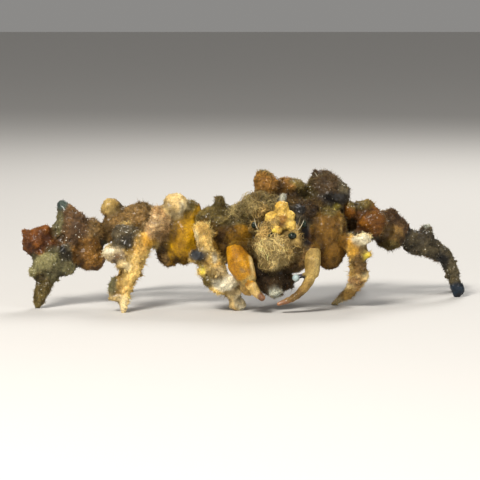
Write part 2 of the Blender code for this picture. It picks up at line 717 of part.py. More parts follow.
def centre_in_metres():
    """Scales every mesh from millimetres and puts the middle of the whole box over the origin."""
    nodes = list(bpy.context.scene.collection.objects)
    boxes = [bounds(obj) for obj in nodes]
    low = Vector([min(box[0][i] for box in boxes) for i in range(3)])
    high = Vector([max(box[1][i] for box in boxes) for i in range(3)])
    middle = (low + high) / 2
    crab = bpy.data.collections.new("spider_decorator_crab")
    bpy.context.scene.collection.children.link(crab)
    for obj in nodes:
        obj.data.transform(Matrix.Scale(MM, 4) @ Matrix.Translation((-middle.x, -middle.y, 0)))
        bpy.context.scene.collection.objects.unlink(obj)
        crab.objects.link(obj)


def build():
    """Clears the scene, makes every node, and brings the crab to metres over the origin."""
    for old in list(bpy.data.objects):
        bpy.data.objects.remove(old)
    finish = {
        "shell": coating("shell", (0.52, 0.36, 0.16), 0.7),
        "eye": coating("eye", (0.02, 0.03, 0.025), 0.12),
        "gold": coating("gold", (0.72, 0.40, 0.06), 0.5),
        "rust": coating("rust", (0.42, 0.13, 0.03), 0.75),
        "umber": coating("umber", (0.20, 0.12, 0.06), 0.85),
        "pale": coating("pale", (0.66, 0.60, 0.44), 0.6),
        "weed": coating("weed", (0.36, 0.32, 0.17), 0.9),
        "yolk": coating("yolk", (0.80, 0.48, 0.09), 0.7),
        "wine": coating("wine", (0.13, 0.07, 0.05), 0.85),
    }
    crab = Crab()
    crab.add("carapace", [Shell()], finish["shell"])
    crab.add("thorax", thorax_shapes(), finish["shell"])
    crab.add("abdomen", abdomen_shapes(), finish["shell"])
    beak = [Tube((tuple(body_point(s * 1.2, -12.6, 21.2)), tuple(body_point(s * 1.7, -16.2, 21.2))), (1.5, 0.9))
            for s in (-1, 1)]
    crab.add("rostrum", beak, finish["shell"])
    add_face(crab, finish)
    add_limbs(crab, finish)
    crab.add("growth_algae", ALGAE, finish["weed"], curls())
    for name, (tint, shapes) in GROWTHS.items():
        crab.add(name, shapes, finish[tint])
    centre_in_metres()


build()
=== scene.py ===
"""Looks of a spider decorator crab, a still life-size model wrapped in sponges and weed.

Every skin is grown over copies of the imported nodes, so it keeps their place and proportions. Places written
here are in millimetres in the frame that the solids were drawn in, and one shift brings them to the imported
frame. Growth on the crab's front is placed as the front view shows it: across, down and, for some, its depth.
"""

import logging
import math
from dataclasses import dataclass, field
from enum import Enum

import bmesh
import bpy
import numpy as np
from mathutils import Matrix, Vector
from mathutils.kdtree import KDTree

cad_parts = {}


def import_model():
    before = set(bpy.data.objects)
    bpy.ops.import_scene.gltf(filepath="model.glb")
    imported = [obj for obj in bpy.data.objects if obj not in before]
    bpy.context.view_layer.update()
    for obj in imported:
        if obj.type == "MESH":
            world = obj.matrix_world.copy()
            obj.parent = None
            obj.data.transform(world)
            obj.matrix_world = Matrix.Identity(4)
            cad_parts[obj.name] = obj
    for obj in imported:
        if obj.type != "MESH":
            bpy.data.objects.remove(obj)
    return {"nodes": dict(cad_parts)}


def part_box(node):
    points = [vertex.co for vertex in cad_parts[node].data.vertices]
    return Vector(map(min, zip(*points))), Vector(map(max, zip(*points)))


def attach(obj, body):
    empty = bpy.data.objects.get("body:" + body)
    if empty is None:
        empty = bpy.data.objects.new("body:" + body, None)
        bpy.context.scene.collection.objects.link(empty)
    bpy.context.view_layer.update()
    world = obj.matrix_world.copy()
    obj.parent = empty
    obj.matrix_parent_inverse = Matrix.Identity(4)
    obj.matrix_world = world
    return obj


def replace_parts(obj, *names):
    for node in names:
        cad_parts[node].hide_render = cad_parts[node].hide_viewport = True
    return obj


log = logging.getLogger("crab")
MM = 0.001
SEED = 20
# A coat is split into pieces of no more triangles than this.
COAT_LIMIT = 180000
# The body's middle line: its turn, and the drawn place that it is measured from.
BODY_TURN = math.radians(-8)
BODY_CENTRE = np.array((11.3, 0.5, 0.0))
# The middle of the right eye, out from the body's middle line, back along it and up.
RIGHT_EYE = (-2.5, -17.3, 18.2)
# The front view: what it aims at, how far away it is, its angle above the level, the size of one of its steps
# at the crab, and how many of them lie between its middle and its edge.
VIEW_AIM = np.array((-0.84, 0.0, 15.44))
VIEW_AWAY = 600.0
VIEW_RISE = math.radians(6)
VIEW_STEP = 0.24
VIEW_HALF = 240


def srgb(red: int, green: int, blue: int) -> tuple[float, float, float]:
    """Turns a colour as a screen shows it, up to 255, into the linear light that shaders work in."""
    return tuple(((part / 255 + 0.055) / 1.055) ** 2.4 for part in (red, green, blue))


@dataclass(frozen=True)
class Surface:
    """How one kind of growth looks.

    It has two tones that mix in patches. Lumps, grain and pits are its relief in millimetres, and pits also deepen the
    painted shade in its pores. Specks and wet are shares, and the specks are pale flecks that are partly pale granules
    and partly painted wet glints. Nap, curl and beard say how many strands stand on a square millimetre. Hair is the
    length of the nap, and coil the radius of a curl.
    """

    colour: tuple[float, float, float]
    other: tuple[float, float, float]
    lumps: float = 0.20
    grain: float = 0.08
    pits: float = 0.0
    specks_and_glints: float = 0.2
    nap: float = 2.0
    hair: float = 0.5
    wet: float = 0.3
    curl: float = 0.0
    coil: float = 0.45
    beard: float = 0.0


class Kind(Enum):
    """The kinds of surface on the crab, each with its values in the order of the fields above."""

    GOLD = Surface(srgb(210, 182, 118), srgb(180, 146, 84), 0.22, 0.20, 0.0, 0.30, 7.0, 0.66)
    MARIGOLD = Surface(srgb(206, 162, 78), srgb(176, 132, 58), 0.16, 0.09, 0.0, 0.2, 0.8, 0.28)
    STRAW = Surface(srgb(190, 164, 106), srgb(140, 112, 64), 0.18, 0.12, 0.03, 0.3, 4.0, 0.6)
    MUSTARD = Surface(srgb(168, 130, 32), srgb(128, 96, 22), 0.20, 0.03, 0.0, 0.10, 0.3, 0.20, 0.4)
    YOLK = Surface(srgb(204, 174, 98), srgb(184, 148, 74), 0.10, 0.12, 0.04, 0.05, 0.6, 0.2)
    PALM = Surface(srgb(174, 127, 40), srgb(138, 94, 26), 0.07, 0.04, 0.03, 0.08, 0.3, 0.25, 0.6)
    CREAM = Surface(srgb(220, 204, 160), srgb(186, 162, 114), 0.10, 0.06, 0.01, 0.1, 1.5, 0.3)
    BEIGE = Surface(srgb(168, 144, 92), srgb(136, 113, 66), 0.12, 0.06, 0.0, 0.15, 2.0, 0.25)
    PINK = Surface(srgb(214, 185, 140), srgb(163, 130, 88), 0.22, 0.18, 0.03, 0.4, 6.0, 0.6)
    WHITE = Surface(srgb(216, 210, 186), srgb(162, 150, 120), 0.12, 0.10, 0.02, 0.2, 1.0, 0.3)
    RUST = Surface(srgb(116, 75, 31), srgb(82, 51, 21), 0.22, 0.11, 0.04, 0.50, 3.0, 0.35)
    TAWNY = Surface(srgb(129, 94, 48), srgb(90, 66, 33), 0.24, 0.12, 0.02, 0.30, 5.0, 0.42, 0.3, 1.3, 0.34)
    BRICK = Surface(srgb(110, 66, 28), srgb(74, 44, 17), 0.30, 0.17, 0.06, 0.30, 2.0, 0.3)
    ORANGE = Surface(srgb(148, 110, 58), srgb(108, 78, 42), 0.30, 0.12, 0.02, 0.3, 4.5, 0.36)
    OLIVE = Surface(srgb(106, 92, 52), srgb(71, 60, 33), 0.32, 0.16, 0.04, 0.5, 4.5, 0.40)
    GREEN = Surface(srgb(128, 123, 87), srgb(88, 83, 58), 0.28, 0.18, 0.04, 1.2, 3.0, 0.36)
    AMBER = Surface(srgb(122, 90, 34), srgb(86, 62, 22), 0.20, 0.09, 0.0, 0.04, 7.0, 0.42, 0.08)
    TOFFEE = Surface(srgb(111, 81, 35), srgb(79, 56, 25), 0.26, 0.07, 0.0, 0.15, 5.0, 0.30, 0.25)
    UMBER = Surface(srgb(116, 93, 58), srgb(76, 59, 36), 0.34, 0.16, 0.03, 0.35, 8.0, 0.52)
    MAROON = Surface(srgb(108, 82, 54), srgb(68, 50, 33), 0.32, 0.17, 0.04, 0.9, 4.0, 0.34)
    SLATE = Surface(srgb(94, 84, 63), srgb(56, 50, 39), 0.22, 0.15, 0.04, 0.9, 3.0, 0.34, 0.5)
    STONE = Surface(srgb(90, 81, 60), srgb(57, 51, 38), 0.26, 0.16, 0.05, 0.6, 4.0, 0.38)
    COCOA = Surface(srgb(84, 67, 45), srgb(54, 42, 29), 0.34, 0.16, 0.03, 0.35, 8.0, 0.50)
    DARK = Surface(srgb(38, 34, 28), srgb(20, 18, 16), 0.14, 0.10, 0.02, 0.3, 1.5, 0.3, 0.35)
    COAL = Surface(srgb(68, 70, 72), srgb(34, 36, 40), 0.14, 0.15, 0.02, 0.8, 0.8, 0.3, 0.7)
    TEAL = Surface(srgb(70, 82, 76), srgb(44, 54, 50), 0.10, 0.06, 0.0, 0.2, 0.8, 0.3, 0.7)
    NAVY = Surface(srgb(22, 34, 46), srgb(12, 16, 24), 0.10, 0.06, 0.02, 0.2, 0.5, 0.3, 0.7)
    WEED = Surface(srgb(146, 130, 88), srgb(88, 74, 46), 0.30, 0.22, 0.05, 0.5, 1.0, 0.5, 0.4, 4.2, 0.62)
    FUR = Surface(srgb(192, 171, 120), srgb(140, 117, 73), 0.52, 0.26, 0.04, 0.2, 1, 0.5, 0.3, 3.4, 0.62, 6.5)
    TANGLE = Surface(srgb(150, 126, 80), srgb(100, 82, 50), 0.36, 0.18, 0, 0.3, 2, 0.5, 0.3, 3.6, 0.60, 0.6)
    LACE = Surface(srgb(176, 160, 128), srgb(72, 56, 44), 0.20, 0.16, 0.08, 0.9, 3.0, 0.45)
    OCHRE = Surface(srgb(134, 106, 62), srgb(92, 70, 42), 0.26, 0.12, 0.02, 0.3, 4.5, 0.38)
    EARTH = Surface(srgb(140, 112, 70), srgb(100, 78, 46), 0.26, 0.14, 0.02, 0.30, 6.0, 0.42)
    LEMON = Surface(srgb(206, 190, 92), srgb(168, 150, 60), 0.10, 0.08, 0.0, 0.1, 1.0, 0.3)
    FROST = Surface(srgb(172, 172, 156), srgb(116, 118, 106), 0.26, 0.18, 0.0, 0.4, 3.0, 0.5, 0.5, 1.6, 0.38)
    ICE = Surface(srgb(158, 156, 140), srgb(108, 108, 98), 0.14, 0.12, 0.0, 0.3, 2.0, 0.30, 0.5)
    HONEY = Surface(srgb(165, 143, 90), srgb(132, 108, 62), 0.07, 0.05, 0.03, 0.1, 0.3, 0.25, 0.5)
    SHELL = Surface(srgb(226, 206, 156), srgb(200, 168, 104), 0.05, 0.03, 0.0, 0.1, 0.3, 0.25, 0.6)
    BLUSH = Surface(srgb(152, 114, 84), srgb(106, 76, 58), 0.05, 0.03, 0.0, 0.1, 0.3, 0.25, 0.6)


KINDS = list(Kind)

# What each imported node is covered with, by its name or by the start of it.
NODE_KINDS = {
    "carapace": Kind.UMBER, "thorax": Kind.OCHRE, "abdomen": Kind.OCHRE, "rostrum": Kind.STRAW,
    "eyestalk": Kind.OLIVE, "maxilliped": Kind.FUR, "antenna": Kind.CREAM, "claw_r_arm": Kind.AMBER,
    "claw_l_arm": Kind.ORANGE, "growth_crown_right": Kind.RUST, "growth_crown_left": Kind.COCOA,
    "growth_ridge": Kind.UMBER, "growth_cone": Kind.SLATE, "growth_face_side": Kind.SLATE,
    "growth_chest": Kind.COCOA, "growth_algae": Kind.WEED, "growth_r1_olive": Kind.OLIVE,
    "growth_r2_yellow": Kind.MUSTARD, "growth_r3_fuzz": Kind.UMBER, "growth_r3_peak": Kind.MAROON,
    "growth_r3_red": Kind.BRICK, "growth_l1_skirt": Kind.AMBER, "growth_l2_rust": Kind.RUST,
    "growth_l2_lace": Kind.MAROON, "growth_forehead": Kind.YOLK, "claw_r_hand": Kind.PALM,
    "claw_r_finger": Kind.PALM, "claw_l_hand": Kind.HONEY, "claw_l_finger": Kind.HONEY,
    "leg_r1_merus": Kind.AMBER, "leg_r1": Kind.GOLD, "leg_r2_merus": Kind.EARTH, "leg_r2": Kind.GOLD,
    "leg_r3": Kind.GREEN, "leg_r3_merus": Kind.UMBER, "leg_r4": Kind.UMBER, "leg_l1": Kind.GOLD,
    "leg_l2": Kind.STONE, "leg_l3": Kind.UMBER, "leg_l4": Kind.UMBER,
}


@dataclass(frozen=True)
class Patch:
    """A patch of growth: its middle and its reach in the front view, and the depth where it stops."""

    kind: Kind
    across: float
    down: float
    wide: float
    tall: float
    back: float = 99.0


# The patches on each skin, each laid over the ones before it.
PATCHES = {
    "skin_leg_r3": (
        Patch(Kind.UMBER, 92, 225, 14, 20), Patch(Kind.EARTH, 122, 224, 26, 22),
        Patch(Kind.BEIGE, 110, 206, 10.5, 8), Patch(Kind.MAROON, 72, 224, 17, 23),
        Patch(Kind.GREEN, 57, 222, 6, 14), Patch(Kind.TEAL, 60, 202, 8, 9),
        Patch(Kind.STONE, 66, 262, 14, 18), Patch(Kind.ORANGE, 88, 253, 16, 16),
        Patch(Kind.GREEN, 46, 262, 17, 14), Patch(Kind.GREEN, 63, 268, 13, 9),
        Patch(Kind.DARK, 62, 250, 4.5, 5), Patch(Kind.OLIVE, 42, 292, 11, 20),
        Patch(Kind.BRICK, 36, 240, 16, 14),
    ),
    "skin_leg_r2": (
        Patch(Kind.EARTH, 142, 214, 14, 18), Patch(Kind.SLATE, 123, 236, 15, 13),
        Patch(Kind.GOLD, 145, 245, 12, 13), Patch(Kind.MARIGOLD, 147, 239, 7, 8),
        Patch(Kind.LACE, 114, 255, 13, 10), Patch(Kind.WHITE, 108, 250, 4, 3.5),
        Patch(Kind.MAROON, 118, 256, 3.5, 2.5), Patch(Kind.CREAM, 125, 266, 6, 4),
        Patch(Kind.GREEN, 112, 285, 6, 10), Patch(Kind.CREAM, 113, 298, 7, 4),
        Patch(Kind.CREAM, 123, 304, 6, 10), Patch(Kind.UMBER, 165, 254, 10, 17),
        # The amber patch at the mustard sponge's foot is painted shade that darkens its lower part.
        Patch(Kind.MUSTARD, 184, 240, 17, 32), Patch(Kind.AMBER, 184, 266, 16, 9),
        Patch(Kind.OLIVE, 190, 204, 10, 8), Patch(Kind.MUSTARD, 197, 216, 3.5, 9),
        Patch(Kind.PINK, 159, 222, 14, 18), Patch(Kind.CREAM, 175, 205, 13, 13),
        Patch(Kind.WHITE, 182, 208, 3.5, 7), Patch(Kind.AMBER, 236, 242, 26, 22),
    ),
    "skin_leg_r1": (
        Patch(Kind.AMBER, 236, 242, 24, 18), Patch(Kind.OLIVE, 217, 199, 5, 6),
        Patch(Kind.WEED, 236, 211, 11, 8), Patch(Kind.CREAM, 196, 238, 3.5, 8),
        Patch(Kind.COAL, 197, 255.5, 10, 6.5), Patch(Kind.LEMON, 202, 270, 3.5, 4.5),
        Patch(Kind.OLIVE, 208, 281, 7, 6), Patch(Kind.WHITE, 226, 283, 13, 9),
        Patch(Kind.CREAM, 238, 302, 12, 13), Patch(Kind.WHITE, 241, 303, 7, 8),
        Patch(Kind.CREAM, 221, 272, 7, 6), Patch(Kind.WHITE, 214, 258, 2.5, 4),
    ),
    "skin_leg_l1": (
        Patch(Kind.TOFFEE, 340, 238, 10, 10), Patch(Kind.MARIGOLD, 353, 247, 6, 11),
        Patch(Kind.EARTH, 361, 264, 9, 12), Patch(Kind.LEMON, 367, 256, 4, 4),
        Patch(Kind.CREAM, 366, 277, 4, 5), Patch(Kind.PINK, 354, 283, 9, 8),
        Patch(Kind.CREAM, 350, 289, 7, 5), Patch(Kind.STRAW, 345, 297, 17, 8),
        Patch(Kind.CREAM, 336, 302, 8, 6), Patch(Kind.WHITE, 362, 240, 9.5, 6.5),
        Patch(Kind.TOFFEE, 328, 245, 19, 22),
    ),
    "skin_leg_l2": (
        Patch(Kind.OLIVE, 360, 204, 14, 5), Patch(Kind.MAROON, 389, 216, 10, 11),
        Patch(Kind.OCHRE, 392, 235, 12, 10), Patch(Kind.OLIVE, 389, 247, 12, 7),
        Patch(Kind.RUST, 368, 222, 16, 13), Patch(Kind.SLATE, 427, 232, 8, 11),
        Patch(Kind.FROST, 427, 225, 2.5, 3), Patch(Kind.DARK, 443, 262, 6, 8),
        Patch(Kind.NAVY, 458, 291, 9, 9),
    ),
    "skin_body": (
        Patch(Kind.TAWNY, 284, 187, 16, 9), Patch(Kind.OLIVE, 297, 181, 8, 5),
        Patch(Kind.OLIVE, 262, 173, 12, 5), Patch(Kind.TAWNY, 265, 185, 12, 12),
        Patch(Kind.OLIVE, 308, 188, 12, 12), Patch(Kind.COCOA, 326, 183, 15, 10),
        Patch(Kind.STONE, 344, 188, 6, 12), Patch(Kind.DARK, 335, 198, 14, 7),
        Patch(Kind.ICE, 283, 195, 5, 8, -7.0), Patch(Kind.COCOA, 308, 206, 12, 12, -4.0),
        Patch(Kind.WEED, 262, 207, 17, 15, -4.0), Patch(Kind.DARK, 300, 208, 6, 7, -7.0),
        Patch(Kind.DARK, 305, 238, 9, 12, -6.0), Patch(Kind.TOFFEE, 328, 242, 19, 32),
        Patch(Kind.OLIVE, 330, 210, 10, 6), Patch(Kind.LEMON, 337, 206, 3, 3),
        Patch(Kind.STRAW, 342, 229, 1.3, 8), Patch(Kind.AMBER, 240, 242, 24, 20, -4.0),
        Patch(Kind.TANGLE, 265, 217, 12, 11, -7.5), Patch(Kind.EARTH, 298, 260, 16, 13, -4.0),
        Patch(Kind.FROST, 275, 292, 7, 5), Patch(Kind.TANGLE, 276, 245, 28, 25, -9.0),
        Patch(Kind.FUR, 273, 251, 19, 17, -9.0), Patch(Kind.TANGLE, 264, 225, 14, 14, -9.0),
        Patch(Kind.BEIGE, 296, 238, 5, 8, -12.0), Patch(Kind.BEIGE, 284, 226, 9, 12, -10.0),
    ),
    "skin_forehead": (Patch(Kind.ORANGE, 282.5, 221, 4, 6), Patch(Kind.LEMON, 275, 230.5, 1.8, 2.2)),
    "claw_r_hand_shell": (
        # The thin shell strip along the right palm's edge is a pale rim with a painted highlight.
        Patch(Kind.HONEY, 252, 286, 16, 10), Patch(Kind.SHELL, 252.5, 262, 2, 13),
        Patch(Kind.EARTH, 243, 271, 3, 2.5), Patch(Kind.STRAW, 250, 292, 9, 6),
        Patch(Kind.BLUSH, 264, 298, 6, 5),
    ),
    "claw_r_finger_shell": (Patch(Kind.SHELL, 256, 296, 17, 13), Patch(Kind.BLUSH, 264, 298, 6, 5)),
    "claw_l_hand_shell": (
        Patch(Kind.BEIGE, 314, 250, 5, 6), Patch(Kind.EARTH, 294, 295, 10, 7),
        Patch(Kind.BLUSH, 283, 303, 9, 4), Patch(Kind.NAVY, 299, 277, 5.5, 4.5),
    ),
    "claw_l_finger_shell": (
        Patch(Kind.EARTH, 294, 295, 10, 7), Patch(Kind.BLUSH, 283, 303, 9, 4),
        Patch(Kind.NAVY, 299, 277, 5.5, 4.5),
    ),
}


def front(points: np.ndarray) -> np.ndarray:
    """Works out where the front view shows drawn places.

    Args:
        points: N by 3 drawn places.

    Returns:
        N by 2 steps, from the view's left edge and down from its top.
    """
    offset = points - VIEW_AIM
    depth = 1 + offset @ np.array((0.0, math.cos(VIEW_RISE), -math.sin(VIEW_RISE))) / VIEW_AWAY
    up = offset @ np.array((0.0, math.sin(VIEW_RISE), math.cos(VIEW_RISE)))
    return VIEW_HALF + np.stack([offset[:, 0], -up], axis=1) / depth[:, None] / VIEW_STEP


def placed(across: float, down: float, y: float) -> np.ndarray:
    """Works out the drawn place that the front view shows at one of its places, in a few rounds.

    Args:
        across: steps from the view's left edge.
        down: steps from its top.
        y: the drawn depth.

    Returns:
        The drawn place.
    """
    depth, back = 1.0, y - VIEW_AIM[1]
    for _ in range(4):
        rise = ((VIEW_HALF - down) * VIEW_STEP * depth - back * math.sin(VIEW_RISE)) / math.cos(VIEW_RISE)
        depth = 1 + (back * math.cos(VIEW_RISE) - rise * math.sin(VIEW_RISE)) / VIEW_AWAY
    return VIEW_AIM + np.array(((across - VIEW_HALF) * VIEW_STEP * depth, back, rise))


@dataclass(frozen=True)
class Mound:
    """A smooth oval that a skin is grown over, and the node that it stands in for, where it does."""

    centre: tuple[float, float, float]
    radii: tuple[float, float, float]
    instead: str = ""


def mound(place: tuple[float, float, float], radii: tuple[float, float, float], instead: str = "") -> Mound:
    """A mound whose middle is given across, down and deep, as the front view shows it."""
    return Mound(tuple(placed(*place)), radii, instead)


MUZZLE = (
    Mound((8.0, -13.6, 15.0), (5.6, 3.9, 4.1), "maxilliped_right"),
    Mound((6.2, -14.9, 12.6), (2.3, 2.0, 2.3), "maxilliped_left"),
    Mound((12.2, -14.0, 17.2), (2.3, 3.0, 2.9), "maxilliped_left"),
    Mound((6.0, -13.4, 17.4), (2.6, 2.9, 2.9), "maxilliped_right"),
)
SKIRT = (
    Mound((20.4, -8.9, 16.7), (4.1, 2.9, 7.3), "growth_l1_skirt"),
    mound((321, 228, -9.4), (2.2, 2.2, 3.8), "growth_l1_skirt"),
    mound((337, 246, -8.2), (2.4, 2.6, 3.2), "growth_l1_skirt"),
)
CHIN = mound((259, 273, -10.5), (2.3, 2.0, 3.6))
RIDGE = mound((289, 186, -2.5), (3.4, 2.6, 1.9))
# The forehead's balls from the top down, and what joins them.
FOREHEAD = tuple(mound(place, radii, "growth_forehead") for place, radii in (
    ((282, 207.8, -13.6), (1.60, 1.55, 1.55)), ((271.5, 217.5, -14.6), (1.62, 1.40, 1.45)),
    ((289.5, 216.5, -14.7), (1.25, 1.20, 1.45)), ((291, 225.5, -15.2), (1.30, 1.20, 1.55)),
    ((277, 230, -15.9), (1.30, 1.05, 1.10)), ((273.5, 224, -15.3), (0.95, 0.80, 0.90)),
    ((282.5, 220.5, -13.8), (2.75, 1.80, 2.95)),
))
# Small mounds that are added to a leg's skin or to a claw's.
ADDED = {
    # The pale clump and its edge, the foot's neck and two lobes, the dark lump, and fuzz behind the leg.
    "r1": (
        mound((230, 281.5, -14.9), (1.9, 1.2, 1.45)), mound((222, 288, -14.6), (1.3, 0.9, 0.75)),
        mound((236, 292, -13.0), (1.15, 1.1, 1.7)), mound((234.5, 303, -12.9), (0.9, 0.9, 1.4)),
        mound((242, 303.5, -12.4), (0.85, 0.8, 1.15)), mound((200, 254, -15.4), (1.25, 0.95, 0.95)),
        mound((193.5, 258.5, -15.0), (0.95, 0.8, 0.85)), mound((224, 251, -10.0), (3.0, 2.2, 2.8)),
        mound((236, 238, -10.3), (3.8, 2.3, 4.2)),
    ),
    # The dome and the edge beside the knee.
    "r2": (mound((175.5, 205.5, -6.9), (2.8, 2.0, 2.8)), mound((157.5, 240, -8.0), (1.5, 1.3, 2.0))),
    # The brown lump, and two corners of the red block.
    "r3": (
        mound((88, 246, -3.0), (3.2, 1.5, 2.0)), mound((45, 230.5, -5.6), (1.2, 1.2, 1.0)),
        mound((25.5, 233, -5.4), (0.8, 0.9, 0.8)),
    ),
    # The root, where the leg meets the crown, and the fold of the right palm.
    "l2": (mound((349.5, 209, 1.5), (1.6, 1.8, 2.0)),),
    "claw_r_hand": (mound((248.5, 287, -18.7), (1.7, 1.3, 1.8)),),
}


def scatter(cells: np.ndarray, seed: int) -> np.ndarray:
    """Mixes whole numbers into values that look random and are the same in every run.

    Args:
        cells: N by 3 whole numbers.
        seed: chooses the pattern.

    Returns:
        N values from 0 to 1.
    """
    mixed = cells[:, 0] * 73856093 ^ cells[:, 1] * 19349663 ^ cells[:, 2] * 83492791 ^ seed * 2654435761
    mixed = (mixed ^ mixed >> 13) * 1274126177 & 0xFFFFFFFF
    mixed = (mixed ^ mixed >> 15) * 2246822519 & 0xFFFFFFFF
    return ((mixed ^ mixed >> 16) & 0xFFFFFF) / 0xFFFFFF


def noise(points: np.ndarray, seed: int) -> np.ndarray:
    """Smooth noise that varies over about one unit.

    Args:
        points: N by 3 places.
        seed: chooses the pattern.

    Returns:
        N values from -1 to 1.
    """
    low = np.floor(points)
    part = points - low
    ease = part * part * (3 - 2 * part)
    low = low.astype(np.int64)
    total = np.zeros(len(points))
    for corner in range(8):
        step = np.array([corner & 1, corner >> 1 & 1, corner >> 2 & 1])
        share = np.prod(np.where(step, ease, 1 - ease), axis=1)
        total += share * scatter(low + step, seed)
    return total * 2 - 1


def layered(points: np.ndarray, size: float, octaves: int, seed: int) -> np.ndarray:
    """Several octaves of noise, each half as large and half as strong as the one before.

    Args:
        points: N by 3 places.
        size: how far the largest octave's features are apart.
        octaves: how many there are.
        seed: chooses the pattern.

    Returns:
        N values, mostly from -1 to 1.
    """
    total, share = np.zeros(len(points)), 1.0
    for octave in range(octaves):
        total += share * noise(points * 2**octave / size, seed + octave)
        share *= 0.5
    return total


def pebbles(points: np.ndarray, size: float, seed: int) -> np.ndarray:
    """Distance to the nearest of many scattered points, as a share of how far apart they are.

    Args:
        points: N by 3 places.
        size: how far the scattered points are apart.
        seed: chooses the pattern.

    Returns:
        N values, 0 at a point and about 1 between them.
    """
    scaled = points / size
    low = np.floor(scaled).astype(np.int64)
    best = np.full(len(points), 1.2)
    for step in np.ndindex(3, 3, 3):
        cell = low + np.array(step) - 1
        spot = cell + np.stack([scatter(cell, seed + axis) for axis in range(3)], axis=1)
        best = np.minimum(best, np.linalg.norm(scaled - spot, axis=1))
    return best


def wander(points: np.ndarray, size: float, seed: int) -> np.ndarray:
    """Three noises at each point, which make a direction that changes smoothly from place to place."""
    return np.stack([noise(points / size, seed + axis) for axis in range(3)], axis=1)


def unit(ways: np.ndarray) -> np.ndarray:
    """The same directions with a length of one."""
    return ways / (np.linalg.norm(ways, axis=-1, keepdims=True) + 1e-9)


def values_of(items: bpy.types.bpy_prop_collection, name: str, width: int,
              kind: type = np.float32) -> np.ndarray:
    """Reads one value of every item of a mesh.

    Args:
        items: its vertices, edges, corners or the like.
        name: the value to read.
        width: how many numbers an item has.
        kind: the type of the numbers.

    Returns:
        A row of numbers for each item.
    """
    flat = np.empty(len(items) * width, kind)
    items.foreach_get(name, flat)
    return flat.reshape(-1, width)


def places_of(data: bpy.types.Mesh) -> np.ndarray:
    """The points of a mesh, N by 3, in its own units."""
    return values_of(data.vertices, "co", 3).astype(float)


def normals_of(data: bpy.types.Mesh) -> np.ndarray:
    """The normals at the points of a mesh."""
    return values_of(data.vertex_normals, "vector", 3).astype(float)


def move_to(data: bpy.types.Mesh, points: np.ndarray) -> None:
    """Moves the points of a mesh to these places."""
    data.vertices.foreach_set("co", points.astype(np.float32).ravel())
    data.update()


def store(data: bpy.types.Mesh, name: str, values: np.ndarray) -> None:
    """Keeps three values at each point of a mesh as a colour attribute.

    Args:
        data: the mesh.
        name: what the attribute is called.
        values: N by 3 numbers.
    """
    attribute = data.color_attributes.new(name, "FLOAT_COLOR", "POINT")
    full = np.ones((len(values), 4), np.float32)
    full[:, :3] = values
    attribute.data.foreach_set("color", full.ravel())


def linked(name: str, data: bpy.types.ID) -> bpy.types.Object:
    """Puts a mesh, light or camera into the scene.

    Args:
        name: the new object's name.
        data: what it shows.

    Returns:
        The object.
    """
    obj = bpy.data.objects.new(name, data)
    bpy.context.scene.collection.objects.link(obj)
    return obj


def new_object(name: str, points: np.ndarray, faces: np.ndarray) -> bpy.types.Object:
    """Makes a mesh object.

    Args:
        name: the name of the object and its mesh.
        points: N by 3 places in metres.
        faces: rows of point numbers, all with as many corners.

    Returns:
        The object.
    """
    data = bpy.data.meshes.new(name)
    data.vertices.add(len(points))
    data.vertices.foreach_set("co", points.astype(np.float32).ravel())
    data.loops.add(faces.size)
    data.loops.foreach_set("vertex_index", faces.astype(np.int32).ravel())
    data.polygons.add(len(faces))
    data.polygons.foreach_set("loop_start", np.arange(0, faces.size, faces.shape[1], dtype=np.int32))
    data.update(calc_edges=True)
    data.validate()
    return linked(name, data)


def apply_all(obj: bpy.types.Object) -> None:
    """Keeps the shape that an object's modifiers give it, without them.

    Args:
        obj: the object.
    """
    bpy.ops.object.select_all(action="DESELECT")
    obj.select_set(True)
    bpy.context.view_layer.objects.active = obj
    for change in list(obj.modifiers):
        bpy.ops.object.modifier_apply(modifier=change.name)


def unwrapped(points: np.ndarray) -> np.ndarray:
    """Lays points round a long shape out flat: the turn about its length, and the way along it.

    Args:
        points: N by 3 places.

    Returns:
        N by 2 places on the map.
    """
    enough, margin = 4000, 0.01
    middle = points.mean(axis=0)
    _, _, axes = np.linalg.svd((points - middle)[:: max(1, len(points) // enough)], full_matrices=False)
    local = (points - middle) @ axes.T
    turn = np.arctan2(local[:, 2], local[:, 1]) / (2 * math.pi) + 0.5
    along = (local[:, 0] - local[:, 0].min()) / (np.ptp(local[:, 0]) + 1e-9)
    return margin + (1 - 2 * margin) * np.stack([turn, along], axis=1)


def kind_of(node: str) -> Kind:
    """Finds what a node is covered with, by its whole name or else by the start of it.

    Args:
        node: its name.

    Returns:
        The kind of surface.
    """
    starts = (node[:length] for length in range(len(node), 0, -1))
    return next(NODE_KINDS[start] for start in starts if start in NODE_KINDS)


